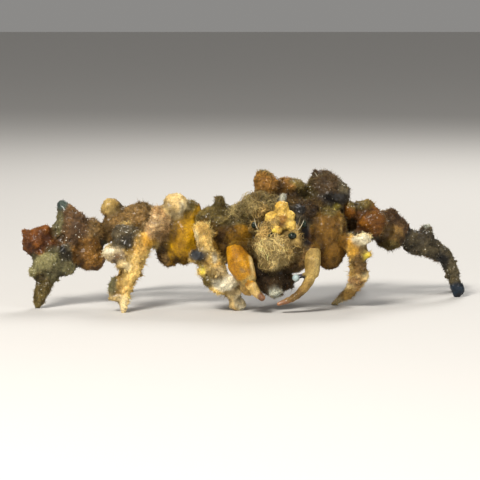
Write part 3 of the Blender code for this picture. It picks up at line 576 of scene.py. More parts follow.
class Packed:
    """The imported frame: its nodes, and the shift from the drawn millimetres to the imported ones."""

    def __init__(self) -> None:
        """Loads the frame and finds the shift by where the right eye is."""
        self.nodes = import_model()["nodes"]
        low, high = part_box("eye_right")
        cos, sin = math.cos(BODY_TURN), math.sin(BODY_TURN)
        out, back, up = RIGHT_EYE
        eye = np.array((out * cos - back * sin, out * sin + back * cos, up)) + BODY_CENTRE
        self.shift = np.array((low + high) / 2) / MM - eye
        self.shift[2] = 0

    def packed(self, points: np.ndarray) -> np.ndarray:
        """Packed metres from drawn millimetres."""
        return (np.asarray(points, float) + self.shift) * MM

    def drawn(self, points: np.ndarray) -> np.ndarray:
        """Drawn millimetres from packed metres."""
        return np.asarray(points, float) / MM - self.shift

    def surface(self, names: list[str], step: float, fewest: int = 30) -> tuple[np.ndarray, np.ndarray]:
        """Spreads points over some nodes.

        Args:
            names: the nodes.
            step: about how far apart the points are.
            fewest: how many a small node gets all the same.

        Returns:
            N by 3 drawn places, and for each the number of the node that it is on.
        """
        draw = np.random.default_rng(SEED)
        found, owners = [], []
        for index, name in enumerate(names):
            data = self.nodes[name].data
            data.calc_loop_triangles()
            corners = self.drawn(places_of(data))[values_of(data.loop_triangles, "vertices", 3, np.int32)]
            sides = corners[:, 1] - corners[:, 0], corners[:, 2] - corners[:, 0]
            area = np.linalg.norm(np.cross(*sides), axis=1) / 2
            count = max(fewest, int(area.sum() / step**2))
            chosen = draw.choice(len(corners), count, p=area / area.sum())
            share = draw.dirichlet((1, 1, 1), count)
            found.append((corners[chosen] * share[:, :, None]).sum(axis=1))
            owners.append(np.full(count, index))
        return np.concatenate(found), np.concatenate(owners)


@dataclass
class Skin:
    """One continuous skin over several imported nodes, with its relief and its markings.

    It stands out from them by grow. Fill is how far it closes the gaps between them, voxel how fine it is,
    relief and nap the shares of both that it shows, and mounds what it is grown over besides.
    """

    name: str
    nodes: list[str]
    slot: str
    grow: float = 0.18
    voxel: float = 0.18
    smoothing: int = 6
    fill: float = 0.6
    relief: float = 1.0
    nap: float = 1.0
    mounds: tuple[Mound, ...] = ()
    obj: bpy.types.Object = field(default=None, repr=False)
    weights: np.ndarray = field(default=None, repr=False)
    # How deep in the relief each point is: painted shade in hollows and creases and painted light on high places, for
    # the tone.
    depth: np.ndarray = field(default=None, repr=False)

    def build(self, packed: Packed, finish: bpy.types.Material) -> None:
        """Grows the skin, shapes its surface and colours it.

        Args:
            packed: the frame.
            finish: the skin's material.
        """
        self.obj = self.grown(packed)
        self.mark(packed)
        self.shape(packed)
        self.colour(packed)
        self.obj.data.materials.clear()
        self.obj.data.materials.append(finish)
        self.obj.data.shade_smooth()
        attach(self.obj, "root")
        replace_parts(self.obj, *self.nodes)
        log.info("%s: %d faces", self.name, len(self.obj.data.polygons))

    def joined(self, packed: Packed) -> bpy.types.Mesh:
        """Gathers the mounds and merged copies of the nodes.

        Args:
            packed: the frame.

        Returns:
            One mesh in packed metres, whose parts still overlap.
        """
        mesh = bmesh.new()
        for one in self.mounds:
            scale = Matrix.Diagonal([radius * MM for radius in one.radii]).to_4x4()
            place = Matrix.Translation(packed.packed(one.centre))
            bmesh.ops.create_icosphere(mesh, subdivisions=3, radius=1.0, matrix=place @ scale)
        afresh = {one.instead for one in self.mounds}
        for name in [node for node in self.nodes if node not in afresh]:
            part = bmesh.new()
            part.from_mesh(packed.nodes[name].data)
            bmesh.ops.remove_doubles(part, verts=part.verts, dist=1e-6)
            data = bpy.data.meshes.new("part")
            part.to_mesh(data)
            part.free()
            mesh.from_mesh(data)
            bpy.data.meshes.remove(data)
        data = bpy.data.meshes.new(self.name)
        mesh.to_mesh(data)
        mesh.free()
        return data

    def grown(self, packed: Packed) -> bpy.types.Object:
        """Makes one closed surface of the nodes and mounds, filled where they nearly touch.

        Args:
            packed: the frame.

        Returns:
            The skin, still smooth.
        """
        obj = linked(self.name, self.joined(packed))
        for outward in (self.grow + self.fill, -self.fill):
            change = obj.modifiers.new("remesh", "REMESH")
            change.mode = "VOXEL"
            change.voxel_size = self.voxel * MM
            soften = obj.modifiers.new("soften", "SMOOTH")
            soften.factor = 0.5
            soften.iterations = self.smoothing
            apply_all(obj)
            move_to(obj.data, places_of(obj.data) + normals_of(obj.data) * outward * MM)
        return obj

    def mark(self, packed: Packed) -> None:
        """Works out how much of each kind of surface there is at each point of the skin.

        Args:
            packed: the frame.
        """
        ragged_size, ragged_reach, spacing, blur = 1.6, 0.5, 0.45, 2.4
        points = packed.drawn(places_of(self.obj.data))
        raggedness = [layered(points, ragged_size, 2, SEED + 5 * axis) for axis in range(3)]
        ragged = points + ragged_reach * np.stack(raggedness, axis=1)
        samples, owners = packed.surface(self.nodes, spacing)
        tree = KDTree(len(samples))
        for index, place in enumerate(samples):
            tree.insert(place, index)
        tree.balance()
        owner = owners[np.array([tree.find(place)[1] for place in ragged])]
        kinds = np.array([KINDS.index(kind_of(name)) for name in self.nodes])
        weights = np.zeros((len(points), len(KINDS)), np.float32)
        weights[np.arange(len(points)), kinds[owner]] = 1
        seen = front(ragged)
        for patch in PATCHES.get(self.name, ()):
            away = np.hypot((seen[:, 0] - patch.across) / patch.wide, (seen[:, 1] - patch.down) / patch.tall)
            share = np.clip((1 - away) * min(patch.wide, patch.tall) / blur + 0.5, 0, 1)
            share *= np.clip(patch.back - points[:, 1], 0, 1)
            weights *= 1 - share[:, None]
            weights[:, KINDS.index(patch.kind)] += share
        self.weights = self.blurred(weights, 4)

    def blurred(self, values: np.ndarray, times: int) -> np.ndarray:
        """Averages values over neighbouring points.

        Args:
            values: a row for each point of the skin.
            times: how often it is done.

        Returns:
            The averaged rows.
        """
        first, second = values_of(self.obj.data.edges, "vertices", 2, np.int32).T
        count = np.bincount(first, minlength=len(values)) + np.bincount(second, minlength=len(values)) + 1.0
        for _ in range(times):
            total = values.copy()
            for column in range(values.shape[1]):
                total[:, column] += np.bincount(first, values[second, column], len(values))
                total[:, column] += np.bincount(second, values[first, column], len(values))
            values = (total / count[:, None]).astype(np.float32)
        return values

    def blend(self, trait: str) -> np.ndarray:
        """One trait of the kinds, blended at each point."""
        return self.weights @ np.array([getattr(kind.value, trait) for kind in KINDS], np.float32)

    def shape(self, packed: Packed) -> None:
        """Raises lumps, grain and knobs and sinks pits along the normals, and keeps the skin off the floor.

        It also keeps how deep in the relief each point is, as painted shade and light for its tone: darker in hollows
        and creases, paler on high places.

        Args:
            packed: the frame.
        """
        lump_size, swell_size, grain_size, knob_gap, pit_gap = 2.4, 5.5, 0.8, 1.0, 1.3
        crease, valley = 0.12, 0.40
        data = self.obj.data
        points, normals = packed.drawn(places_of(data)), normals_of(data)
        soft = self.blurred(points.astype(np.float32), 12)
        softer = self.blurred(soft, 30)
        # Painted shade and light for the tone: below zero in hollows and creases, above it on crests.
        painted_cavity_shade = np.clip(((points - soft) * normals).sum(axis=1) / crease, -1.0, 0.5)
        painted_cavity_shade += np.clip(((points - softer) * normals).sum(axis=1) / valley, -1.0, 0.5)
        lumps, grain, pits = (self.blend(trait) for trait in ("lumps", "grain", "pits"))
        swell = layered(points, swell_size, 2, SEED + 40)
        lift = lumps * (layered(points, lump_size, 3, SEED) - 0.15 + 0.7 * swell)
        lift += grain * layered(points, grain_size, 2, SEED + 9)
        knobs = np.clip(1 - pebbles(points, knob_gap, SEED + 3) * 1.9, 0, 1) ** 0.7
        lift += grain * 1.8 * (knobs - 0.25)
        lift -= pits * 4.0 * np.clip(0.45 - pebbles(points, pit_gap, SEED + 14), 0, 1)
        fine = lift - lumps * 0.7 * swell
        # Painted shade where the fine relief sinks and painted light where it rises, added to the hollows and crests.
        self.depth = np.clip(fine / (grain * 2.4 + 0.05), -1, 1) + painted_cavity_shade
        points += normals * (lift * self.relief)[:, None]
        points[:, 2] = np.maximum(points[:, 2], 0.0)
        move_to(data, packed.packed(points))

    def colour(self, packed: Packed) -> None:
        """Stores the skin's tone and its traits, which set its pale flecks with their painted glints and its painted
        pore shade, as attributes that its shader reads.

        The tone is mottled, with painted light on high places and painted shade in hollows and creases.

        Args:
            packed: the frame.
        """
        tone_size, mottle_size, mottling, shading, richness, haze = 3.0, 1.1, 0.24, 0.28, 1.08, 0.004
        data = self.obj.data
        points = packed.drawn(places_of(data))
        share = np.clip(0.5 + 0.75 * layered(points, tone_size, 3, SEED + 21), 0, 1)[:, None]
        tint = self.blend("colour") * share + self.blend("other") * (1 - share)
        mottle = np.clip(layered(points, mottle_size, 2, SEED + 31), -1, 1)[:, None]
        # Mottle, then painted shade in hollows and painted light on high places.
        tint *= (1 + mottling * mottle) * (1 + shading * np.clip(self.depth, -1.8, 1.2)[:, None])
        grey = (tint @ np.array((0.3, 0.6, 0.1)))[:, None]
        tint = grey + (tint - grey) * richness - haze
        store(data, "Tint", np.clip(tint, 0.002, 0.9))
        traits = np.stack([self.blend("specks_and_glints"), self.blend("wet"), self.blend("pits") * 8], axis=1)
        store(data, "Traits", traits)


@dataclass
class Strands:
    """Many thin solid strands of three sides, each drawn along a path in millimetres that ends in a point.

    Axis is what the sides are turned about, place where each strand lies on the unwrap, and slim how much of
    its width is left near its tip.
    """

    name: str
    path: np.ndarray
    axis: np.ndarray
    width: np.ndarray
    tone: np.ndarray
    place: np.ndarray
    slim: float = 0.5

    def build(self, packed: Packed, finish: bpy.types.Material, slot: str) -> bpy.types.Object:
        """Joins the strands into one piece with its tones and its unwrap.

        Args:
            packed: the frame.
            finish: the strands' material.
            slot: not used.

        Returns:
            The piece.
        """
        points = self.rings()
        count, each = points.shape[:2]
        last, tip = each - 4, each - 1
        pattern = [(0, 2, 1)]
        for ring in range(0, last, 3):
            for turn in range(3):
                a, b = ring + turn, ring + (turn + 1) % 3
                pattern += [(a, b, b + 3), (a, b + 3, a + 3)]
        pattern += [(last + turn, last + (turn + 1) % 3, tip) for turn in range(3)]
        faces = np.array(pattern)[None] + each * np.arange(count)[:, None, None]
        obj = new_object(self.name, packed.packed(points.reshape(-1, 3)), faces.reshape(-1, 3))
        store(obj.data, "Tint", np.repeat(self.tone, each, axis=0))
        spread, turned = 0.0014, 2.1
        corner = np.array([(math.cos(k * turned), math.sin(k * turned)) for k in range(each)]) * spread
        spots = (self.place[:, None, :] + corner[None]).reshape(-1, 2)
        index = values_of(obj.data.loops, "vertex_index", 1, np.int32)[:, 0]
        layer = obj.data.uv_layers.new(name="OFBake")
        layer.data.foreach_set("uv", spots[index].astype(np.float32).ravel())
        obj.data.materials.append(finish)
        obj.data.shade_smooth()
        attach(obj, "root")
        log.info("%s: %d strands, %d triangles", self.name, count, count * len(pattern))
        return obj

    def rings(self) -> np.ndarray:
        """Sets three points round each step of each path, kept above the floor, and one at its tip.

        Returns:
            The points of each strand in turn.
        """
        along = unit(np.gradient(self.path, axis=1))
        axis = self.axis[:, None]
        side = unit(axis - along * (axis * along).sum(axis=2, keepdims=True))
        other = np.cross(along, side)
        girth = (self.width[:, None] * np.linspace(1.0, self.slim, self.path.shape[1] - 1))[..., None]
        rings = []
        for turn in range(3):
            angle = turn * 2 * math.pi / 3
            around = side[:, :-1] * math.cos(angle) + other[:, :-1] * math.sin(angle)
            rings.append(self.path[:, :-1] + around * girth)
        rings = np.stack(rings, axis=2).reshape(len(self.path), -1, 3)
        points = np.concatenate([rings, self.path[:, -1:]], axis=1)
        points[..., 2] = np.maximum(points[..., 2], 0.01)
        return points


@dataclass
class Nap:
    """The hair on a skin: short nap, curls and beard, as thick and long as the growth under it asks."""

    skin: Skin
    seed: int
    draw: np.random.Generator = field(default=None, repr=False)
    points: np.ndarray = field(default=None, repr=False)
    normals: np.ndarray = field(default=None, repr=False)

    def build(self, packed: Packed, finish: bpy.types.Material) -> None:
        """Scatters the strands over the skin and takes each one's tone from the skin under it.

        Args:
            packed: the frame.
            finish: the strands' material.
        """
        self.draw = np.random.default_rng(self.seed)
        data = self.skin.obj.data
        self.points, self.normals = packed.drawn(places_of(data)), normals_of(data)
        # The skin's tone, with its painted shade and light, which each strand takes on.
        tint = values_of(data.color_attributes["Tint"].data, "color", 4)[:, :3]
        spots = unwrapped(self.points)
        for name, chosen, path, axis, width, bright in (self.hairs(), self.curls(), self.beard()):
            if not len(chosen):
                continue
            tone = tint[chosen] * self.draw.uniform(0.7, bright, (len(chosen), 1))
            tone = np.clip(tone + self.draw.uniform(0, 0.015, (len(chosen), 1)), 0, 1)
            each = 6 * path.shape[1] - 8
            triangles = len(chosen) * each
            order = np.argsort(path[:, 0, 1], kind="stable")
            for index, part in enumerate(np.array_split(order, 1 + triangles // COAT_LIMIT)):
                title = self.skin.name.replace("skin", name) + (f"_{index + 1}" if index else "")
                piece = Strands(title, path[part], axis[part], width[part], tone[part], spots[chosen[part]])
                piece.build(packed, finish, self.skin.slot)

    def scattered(self, trait: str) -> np.ndarray:
        """Chooses points of the skin that strands stand on, thicker in some places than in others.

        Args:
            trait: what gives their number for a square millimetre.

        Returns:
            The numbers of the points.
        """
        point_area = self.skin.voxel**2 * 1.6
        chance = self.skin.blend(trait) * point_area * (self.skin.nap if trait == "nap" else 1.0)
        chance *= np.clip(0.9 + 1.2 * layered(self.points, 2.4, 2, self.seed), 0.15, 2.2)
        chosen = np.flatnonzero(self.draw.random(len(self.points)) < chance)
        return chosen[self.points[chosen, 2] > 0.5]

    def hairs(self) -> tuple[str, np.ndarray, np.ndarray, np.ndarray, np.ndarray, float]:
        """Draws short hairs that stand out from the skin and lean together in patches.

        Returns:
            Their name, the points that they stand on, their paths, axes and widths, and the brightest's tone
            as a share of the skin's.
        """
        chosen = self.scattered("nap")
        root, count = self.points[chosen], len(chosen)
        lean, stray, droop = 0.55, 0.28, 0.35
        lie = wander(root, 1.2, self.seed)
        out = unit(self.normals[chosen] + lean * lie + self.draw.normal(0, stray, (count, 3)))
        length = (self.skin.blend("hair")[chosen] * self.draw.gamma(5.0, 0.2, count))[:, None]
        bend = np.cross(out, self.draw.normal(0, 1, out.shape)) * droop * length
        path = np.stack([root + out * length * s + bend * max(s, 0) ** 2 for s in (-0.12, 0.5, 1.0)], axis=1)
        axis = np.cross(out, (0.31, 0.22, 0.92))
        return "nap", chosen, path, axis, self.draw.uniform(0.05, 0.095, count), 1.6

    def curls(self) -> tuple[str, np.ndarray, np.ndarray, np.ndarray, np.ndarray, float]:
        """Draws curled strands that rise from the skin and turn back over it.

        Returns:
            The same as for the hairs.
        """
        chosen = self.scattered("curl")
        root, out, count = self.points[chosen], self.normals[chosen], len(chosen)
        across = unit(np.cross(out, self.draw.normal(0, 1, out.shape)))
        axis = np.cross(out, across)
        radius = (self.skin.blend("coil")[chosen] * self.draw.uniform(0.6, 1.35, count))[:, None]
        drift = self.draw.uniform(-0.12, 0.12, (count, 1)) * radius
        reach = self.draw.uniform(2.6, 4.9, (count, 1))
        path = []
        for share in np.linspace(-0.1, 1.0, 8):
            turn = reach * share
            bow = radius * (np.sin(turn) * out + (1 - np.cos(turn)) * across)
            path.append(root + bow + axis * drift * turn)
        return "curls", chosen, np.stack(path, axis=1), axis, self.draw.uniform(0.055, 0.10, count), 2.3

    def beard(self) -> tuple[str, np.ndarray, np.ndarray, np.ndarray, np.ndarray, np.ndarray]:
        """Draws longer soft bristles that part over the face, droop and sway, in lighter and darker locks.

        Returns:
            The same as for the hairs, with a brightest tone for each bristle.
        """
        chosen = self.scattered("beard")
        root, out, count = self.points[chosen], self.normals[chosen], len(chosen)
        lock = wander(root, 1.5, self.seed + 7)
        fall = unit(np.array((0.0, -0.35, -1.0)) + 1.1 * lock + self.draw.normal(0, 0.2, (count, 3)))
        length = (self.draw.uniform(0.9, 1.8, count) * (1 + 0.3 * lock[:, 0]))[:, None]
        sway = unit(np.cross(fall, out)) * length * 0.16
        phase = self.draw.uniform(0, 6, (count, 1))
        path = []
        for share in (-0.08, 0.12, 0.28, 0.46, 0.64, 0.82, 1.0):
            rise = 0.62 * share * (1 - 0.62 * share)
            curve = sway * (np.sin(phase + 6 * share) - np.sin(phase)) * min(1.0, share * 3)
            path.append(root + length * (out * rise + fall * share * share * 0.85) + curve)
        axis = unit(np.cross(out, fall) + 1e-6)
        bright = np.clip(1.9 + 1.7 * layered(root, 1.7, 2, self.seed + 50), 0.8, 3.0)[:, None]
        return "beard", chosen, np.stack(path, axis=1), axis, self.draw.uniform(0.055, 0.105, count), bright


class Graph:
    """A material's node tree, with short ways to add nodes and to do sums with their sockets."""

    def __init__(self, name: str) -> None:
        """Starts a material that has only its shader.

        Args:
            name: what it is called.
        """
        self.material = bpy.data.materials.new(name)
        self.material.use_nodes = True
        self.tree = self.material.node_tree
        self.shader = self.tree.nodes["Principled BSDF"]

    def node(self, kind: str, inputs: dict[str | int, object] | None = None,
             **settings: object) -> bpy.types.Node:
        """Adds any node.

        Args:
            kind: its type.
            inputs: what goes into its sockets.
            settings: its own settings, which are set first.

        Returns:
            The node.
        """
        made = self.tree.nodes.new(kind)
        for key, value in settings.items():
            setattr(made, key, value)
        self.put(made, inputs or {})
        return made

    def put(self, node: bpy.types.Node, inputs: dict[str | int, object]) -> None:
        """Links the values that are sockets to a node, and sets those that are constants.

        Args:
            node: the node.
            inputs: a value for each of its sockets that gets one.
        """
        for key, value in inputs.items():
            value = value.socket if isinstance(value, Value) else value
            if isinstance(value, bpy.types.NodeSocket):
                self.tree.links.new(value, node.inputs[key])
            else:
                node.inputs[key].default_value = value

    def attribute(self, name: str, output: str) -> "Value":
        """A stored attribute of the surface."""
        return Value(self, self.node("ShaderNodeAttribute", attribute_name=name).outputs[output])

    def place(self) -> "Value":
        """The place on the object."""
        return Value(self, self.node("ShaderNodeTexCoord").outputs["Object"])

    def noise(self, place: "Value", size: float, detail: float = 2.0, roughness: float = 0.5) -> "Value":
        """Noise from 0 to 1 whose features are this many millimetres across."""
        inputs = {"Vector": place, "Scale": 1 / (size * MM), "Detail": detail, "Roughness": roughness}
        return Value(self, self.node("ShaderNodeTexNoise", inputs).outputs["Fac"])

    def cells(self, place: "Value", size: float) -> "Value":
        """Distance to the nearest of points scattered this many millimetres apart."""
        made = self.node("ShaderNodeTexVoronoi", {"Vector": place, "Scale": 1 / (size * MM)})
        return Value(self, made.outputs["Distance"])

    def ramp(self, value: "Value", low: float, high: float) -> "Value":
        """0 below low, 1 above high, and a smooth change between."""
        made = self.node("ShaderNodeMapRange", {0: value, 1: low, 2: high}, interpolation_type="SMOOTHSTEP")
        return Value(self, made.outputs["Result"])

    def mix(self, share: object, first: object, second: object, way: str = "MIX") -> "Value":
        """Mixes two colours, whose sockets are the node's seventh and eighth."""
        made = self.node("ShaderNodeMix", {0: share, 6: first, 7: second}, data_type="RGBA", blend_type=way)
        return Value(self, made.outputs[2])

    def bump(self, height: "Value", strength: float, distance: float, **before: "Value") -> "Value":
        """A normal bent by a height from 0 to 1, this many millimetres deep, over the Normal before."""
        inputs = {"Height": height, "Strength": strength, "Distance": distance * MM, **before}
        return Value(self, self.node("ShaderNodeBump", inputs).outputs["Normal"])


class Value:
    """A socket that takes part in sums."""

    def __init__(self, graph: Graph, socket: bpy.types.NodeSocket) -> None:
        """Keeps the socket and the graph that sums are added to."""
        self.graph, self.socket = graph, socket

    def sum(self, operation: str, first: object, second: object) -> "Value":
        """One Math node."""
        made = self.graph.node("ShaderNodeMath", {0: first, 1: second}, operation=operation)
        return Value(self.graph, made.outputs[0])

    def __add__(self, other: object) -> "Value":
        """This plus another."""
        return self.sum("ADD", self, other)

    def __radd__(self, other: object) -> "Value":
        """Another plus this."""
        return self.sum("ADD", other, self)

    def __sub__(self, other: object) -> "Value":
        """This less another."""
        return self.sum("SUBTRACT", self, other)

    def __rsub__(self, other: object) -> "Value":
        """Another less this."""
        return self.sum("SUBTRACT", other, self)

    def __mul__(self, other: object) -> "Value":
        """This times another."""
        return self.sum("MULTIPLY", self, other)

    def __rmul__(self, other: object) -> "Value":
        """Another times this."""
        return self.sum("MULTIPLY", other, self)


@dataclass(frozen=True)
class Growth:
    """Wet living crust: the stored tone with painted shade in the low places of its fine bumps and painted light on
    their tops, pale flecks that are partly painted wet glints, painted shade in dark pores, and fine bumps.
    """

    name: str
    deep: float
    # Shade and light scale the stored tone into a shaded and a lit copy: painted shade and painted light.
    shade: tuple[float, ...] = (0.42, 0.38, 0.34, 1)
    light: tuple[float, ...] = (1.50, 1.46, 1.38, 1)
    # The tone of the painted shade in the pores.
    pore: tuple[float, ...] = (0.02, 0.010, 0.005, 1)
    # The tone of the pale flecks, which are partly pale granules and partly painted wet glints.
    fleck: tuple[float, ...] = (0.82, 0.78, 0.64, 1)
    fine_size: float = 0.35
    broad_size: float = 1.6
    pore_gap: float = 0.55
    fleck_gap: float = 0.62

    def material(self) -> bpy.types.Material:
        """Builds the material.

        Returns:
            The material, through which light spreads by the share deep.
        """
        graph = Graph(self.name)
        place = graph.place()
        tint = graph.attribute("Tint", "Color")
        parts = graph.node("ShaderNodeSeparateXYZ", {"Vector": graph.attribute("Traits", "Vector")})
        specks_and_glints, wet, pits = (Value(graph, parts.outputs[index]) for index in range(3))
        fine, broad = graph.noise(place, self.fine_size, 3.0, 0.6), graph.noise(place, self.broad_size)
        # A shaded and a lit copy of the tone, mixed by the same fine noise that bumps the surface: painted shade in
        # the bumps' low places and painted light on their tops.
        painted_shade_copy = graph.mix(1.0, tint, self.shade, "MULTIPLY")
        light = graph.mix(1.0, tint, self.light, "MULTIPLY")
        base = graph.mix(0.45, graph.mix(graph.ramp(fine, 0.25, 0.75), painted_shade_copy, light), tint)
        # Painted shade in small pores, stronger where the surface is pitted.
        painted_pore_shade = 1 - graph.ramp(graph.cells(place, self.pore_gap), 0.10, 0.34)
        base = graph.mix(painted_pore_shade * (pits * 0.9 + 0.25), base, self.pore)
        # Pale flecks where the broad noise is high: partly pale granules, partly painted wet glints.
        flecks_and_glints = 1 - graph.ramp(graph.cells(place, self.fleck_gap), 0.10, 0.22)
        flecks_and_glints = flecks_and_glints * graph.ramp(broad, 0.46, 0.60) * specks_and_glints * 1.5
        graph.put(graph.shader, {
            "Base Color": graph.mix(flecks_and_glints, base, self.fleck),
            "Roughness": 0.72 - wet * 0.40 + fine * 0.16,
            "Normal": graph.bump(fine, 0.6, 0.16, Normal=graph.bump(broad, 0.5, 0.35)),
            "Subsurface Weight": self.deep,
            "Subsurface Radius": (1.0, 0.65, 0.35),
            "Subsurface Scale": 0.8 * MM,
            "Specular IOR Level": 0.22,
            "Coat Roughness": 0.12,
            "Coat Weight": wet * 0.55,
        })
        return graph.material


@dataclass(frozen=True)
class Hair:
    """Fine hair with the tone of what it grows on."""

    name: str

    def material(self) -> bpy.types.Material:
        """Builds the material.

        Returns:
            The material.
        """
        graph = Graph(self.name)
        graph.put(graph.shader, {
            "Base Color": graph.attribute("Tint", "Color"),
            "Roughness": 0.55,
            "Specular IOR Level": 0.22,
            "Subsurface Weight": 0.2,
            "Subsurface Radius": (1.0, 0.6, 0.3),
            "Subsurface Scale": 0.4 * MM,
        })
        return graph.material


@dataclass(frozen=True)
class Glass:
    """A wet, glassy surface that wavers between two colours."""

    name: str
    low: tuple[float, ...]
    high: tuple[float, ...]

    def material(self) -> bpy.types.Material:
        """Builds the material.

        Returns:
            The material.
        """
        graph = Graph(self.name)
        cast = graph.ramp(graph.noise(graph.place(), 0.6), 0.3, 0.7)
        base = graph.mix(cast, self.low, self.high)
        graph.put(graph.shader, {"Base Color": base, "Roughness": 0.16, "IOR": 1.38})
        return graph.material


class Finishes:
    """The materials of the crab."""

    def __init__(self) -> None:
        """Makes one of each."""
        self.skin = Growth("growth", 0.10).material()
        self.hair = Hair("nap").material()
        self.eye = Glass("eye", (0.004, 0.006, 0.005, 1), (0.016, 0.028, 0.016, 1)).material()
        self.claw = Growth("claw_shell", 0.15).material()
        self.ball = Growth("sponge_ball", 0.15).material()
        self.pearl = Glass("pearl", (0.28, 0.36, 0.36, 1), (0.42, 0.50, 0.48, 1)).material()


def ball(name: str, centre: Vector, radii: tuple[float, float, float], finish: bpy.types.Material) -> bpy.types.Object:
    """Makes a smooth oval.

    Args:
        name: its name.
        centre: its packed place in metres.
        radii: its radii in millimetres.
        finish: its material.

    Returns:
        The piece.
    """
    bpy.ops.object.select_all(action="DESELECT")
    bpy.ops.mesh.primitive_uv_sphere_add(segments=40, ring_count=24, radius=MM, location=centre)
    obj = bpy.context.active_object
    obj.name = obj.data.name = name
    obj.scale = radii
    bpy.ops.object.transform_apply(location=True, rotation=True, scale=True)
    bpy.ops.object.shade_smooth()
    obj.data.materials.append(finish)
    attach(obj, "root")
    log.info("%s: an oval", name)
    return obj


@dataclass(frozen=True)
class Rod:
    """A slender curved rod through three drawn places."""

    start: np.ndarray
    middle: np.ndarray
    end: np.ndarray
    radius: float
    tone: tuple[float, float, float]

    def path(self) -> np.ndarray:
        """Bends the rod through its middle.

        Returns:
            Twelve drawn places along it.
        """
        share = np.linspace(0, 1, 12)[:, None]
        pull = 2 * self.middle - (self.start + self.end) / 2
        return (1 - share) ** 2 * self.start + 2 * share * (1 - share) * pull + share**2 * self.end


def rods(name: str, lines: list[Rod], packed: Packed, finish: bpy.types.Material,
         slot: str) -> bpy.types.Object:
    """Joins some rods into one piece.

    Args:
        name: its name.
        lines: the rods.
        packed: the frame.
        finish: its material.
        slot: handed on to the strands, which do not use it.

    Returns:
        The piece.
    """
    path = np.array([line.path() for line in lines])
    axis = np.cross(path[:, -1] - path[:, 0], path[:, 5] - path[:, 0]) + 1e-6
    width, tone = np.array([line.radius for line in lines]), np.array([line.tone for line in lines])
    spots = np.linspace(0.1, 0.9, len(lines))[:, None] * np.ones((1, 2))
    return Strands(name, path, unit(axis), width, tone, spots, 0.35).build(packed, finish, slot)


@dataclass(frozen=True)
class Body:
    """The shell, face and arms under one skin, with the muzzle, the skirt and the crown that grow on it."""

    voxel: float = 0.235
    quick_voxel: float = 0.315
    fill: float = 1.0
    nap: float = 0.6

    def skin(self) -> Skin:
        """Describes the body's skin.

        Returns:
            The skin, not yet built.
        """
        nodes = [
            "carapace", "thorax", "abdomen", "rostrum", "eyestalk_right", "eyestalk_left",
            "growth_crown_right", "growth_crown_left", "growth_ridge", "growth_cone", "growth_face_side",
            "growth_chest", "growth_algae", "growth_l1_skirt", "maxilliped_right", "maxilliped_left",
            "claw_r_arm", "claw_l_arm",
        ]
        voxel = self.voxel
        mounds = MUZZLE + SKIRT + (CHIN, RIDGE)
        return Skin("skin_body", nodes, "shell", voxel=voxel, fill=self.fill, nap=self.nap, mounds=mounds)


@dataclass(frozen=True)
class Leg:
    """One walking leg and the clumps that wrap it. Far legs, which the front view hides, are less fine."""

    side: str
    clumps: tuple[str, ...] = ()
    far: bool = False
    quick_voxel: float = 0.3
    smoothing: int = 7
    fill: float = 0.9

    def skin(self) -> Skin:
        """Describes the leg's skin.

        Returns:
            The skin, not yet built.
        """
        nodes = [f"leg_{self.side}_{part}" for part in ("merus", "shank", "foot")]
        nodes += [f"growth_{self.side}_{clump}" for clump in self.clumps]
        voxel, nap = (0.26, 0.45) if self.far else (0.22, 0.65)
        voxel = voxel
        return Skin(f"skin_leg_{self.side}", nodes, "crusted_leg", voxel=voxel, smoothing=self.smoothing,
                    fill=self.fill, nap=nap, mounds=ADDED.get(self.side, ()))


LEGS = (
    Leg("r1", ("olive",)), Leg("r2", ("yellow",)), Leg("r3", ("fuzz", "peak", "red")), Leg("r4", far=True),
    Leg("l1"), Leg("l2", ("rust", "lace")), Leg("l3", far=True), Leg("l4", far=True),
)


@dataclass(frozen=True)
class Forehead:
    """The cluster of yellow sponge balls between the eyes."""

    grow: float = 0.05
    voxel: float = 0.12
    smoothing: int = 4
    fill: float = 0.42

    def build(self, packed: Packed, finish: bpy.types.Material) -> None:
        """Grows one skin over the balls.

        Args:
            packed: the frame.
            finish: the sponge's material.
        """
        skin = Skin("skin_forehead", ["growth_forehead"], "sponge_yellow", self.grow, self.voxel,
                    self.smoothing, self.fill, mounds=FOREHEAD)
        skin.build(packed, finish)


@dataclass(frozen=True)
class Feelers:
    """The short pale feelers beside the face, with the dark glossy plate at the foot of each.

    Each side has the way out from the face, the foot, knee and tip of its main rod, and the plate's middle.
    """

    ivory: tuple[float, float, float] = srgb(214, 200, 168)
    tan: tuple[float, float, float] = srgb(170, 146, 104)
    radii: tuple[float, float, float] = (0.15, 0.09, 0.08)
    plate_radii: tuple[float, float, float] = (0.62, 0.5, 0.82)
    sides: tuple = (
        ("right", 1, (261, 231, -13.0), (256.5, 227, -15.2), (254.5, 218, -14.4), (254, 225, -13.0)),
        ("left", -1, (296, 231, -15.4), (300.5, 227, -16.4), (304, 219, -15.4), (304, 224, -13.6)),
    )

    def build(self, packed: Packed, finishes: Finishes) -> None:
        """Makes three rods and a plate to a side.

        Args:
            packed: the frame.
            finishes: the materials.
        """
        for side, turn, *places in self.sides:
            start, middle, end, plate = (placed(*place) for place in places)
            near, far = np.array((turn * 0.5, 0.1, 0.5)), np.array((turn * 0.9, 0.4, 0.2))
            thick, thin, thinnest = self.radii
            lines = [Rod(start, middle, end, thick, self.ivory),
                     Rod(start, middle + near, end + near * 1.6, thin, self.tan),
                     Rod(start, middle + far, end + far * 2.2 - (0, 0, 1.2), thinnest, self.ivory)]
            piece = rods(f"feeler_{side}", lines, packed, finishes.hair, "pale_limb")
            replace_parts(piece, f"antenna_{side}")
            ball(f"feeler_plate_{side}", packed.packed(plate), self.plate_radii, finishes.eye)


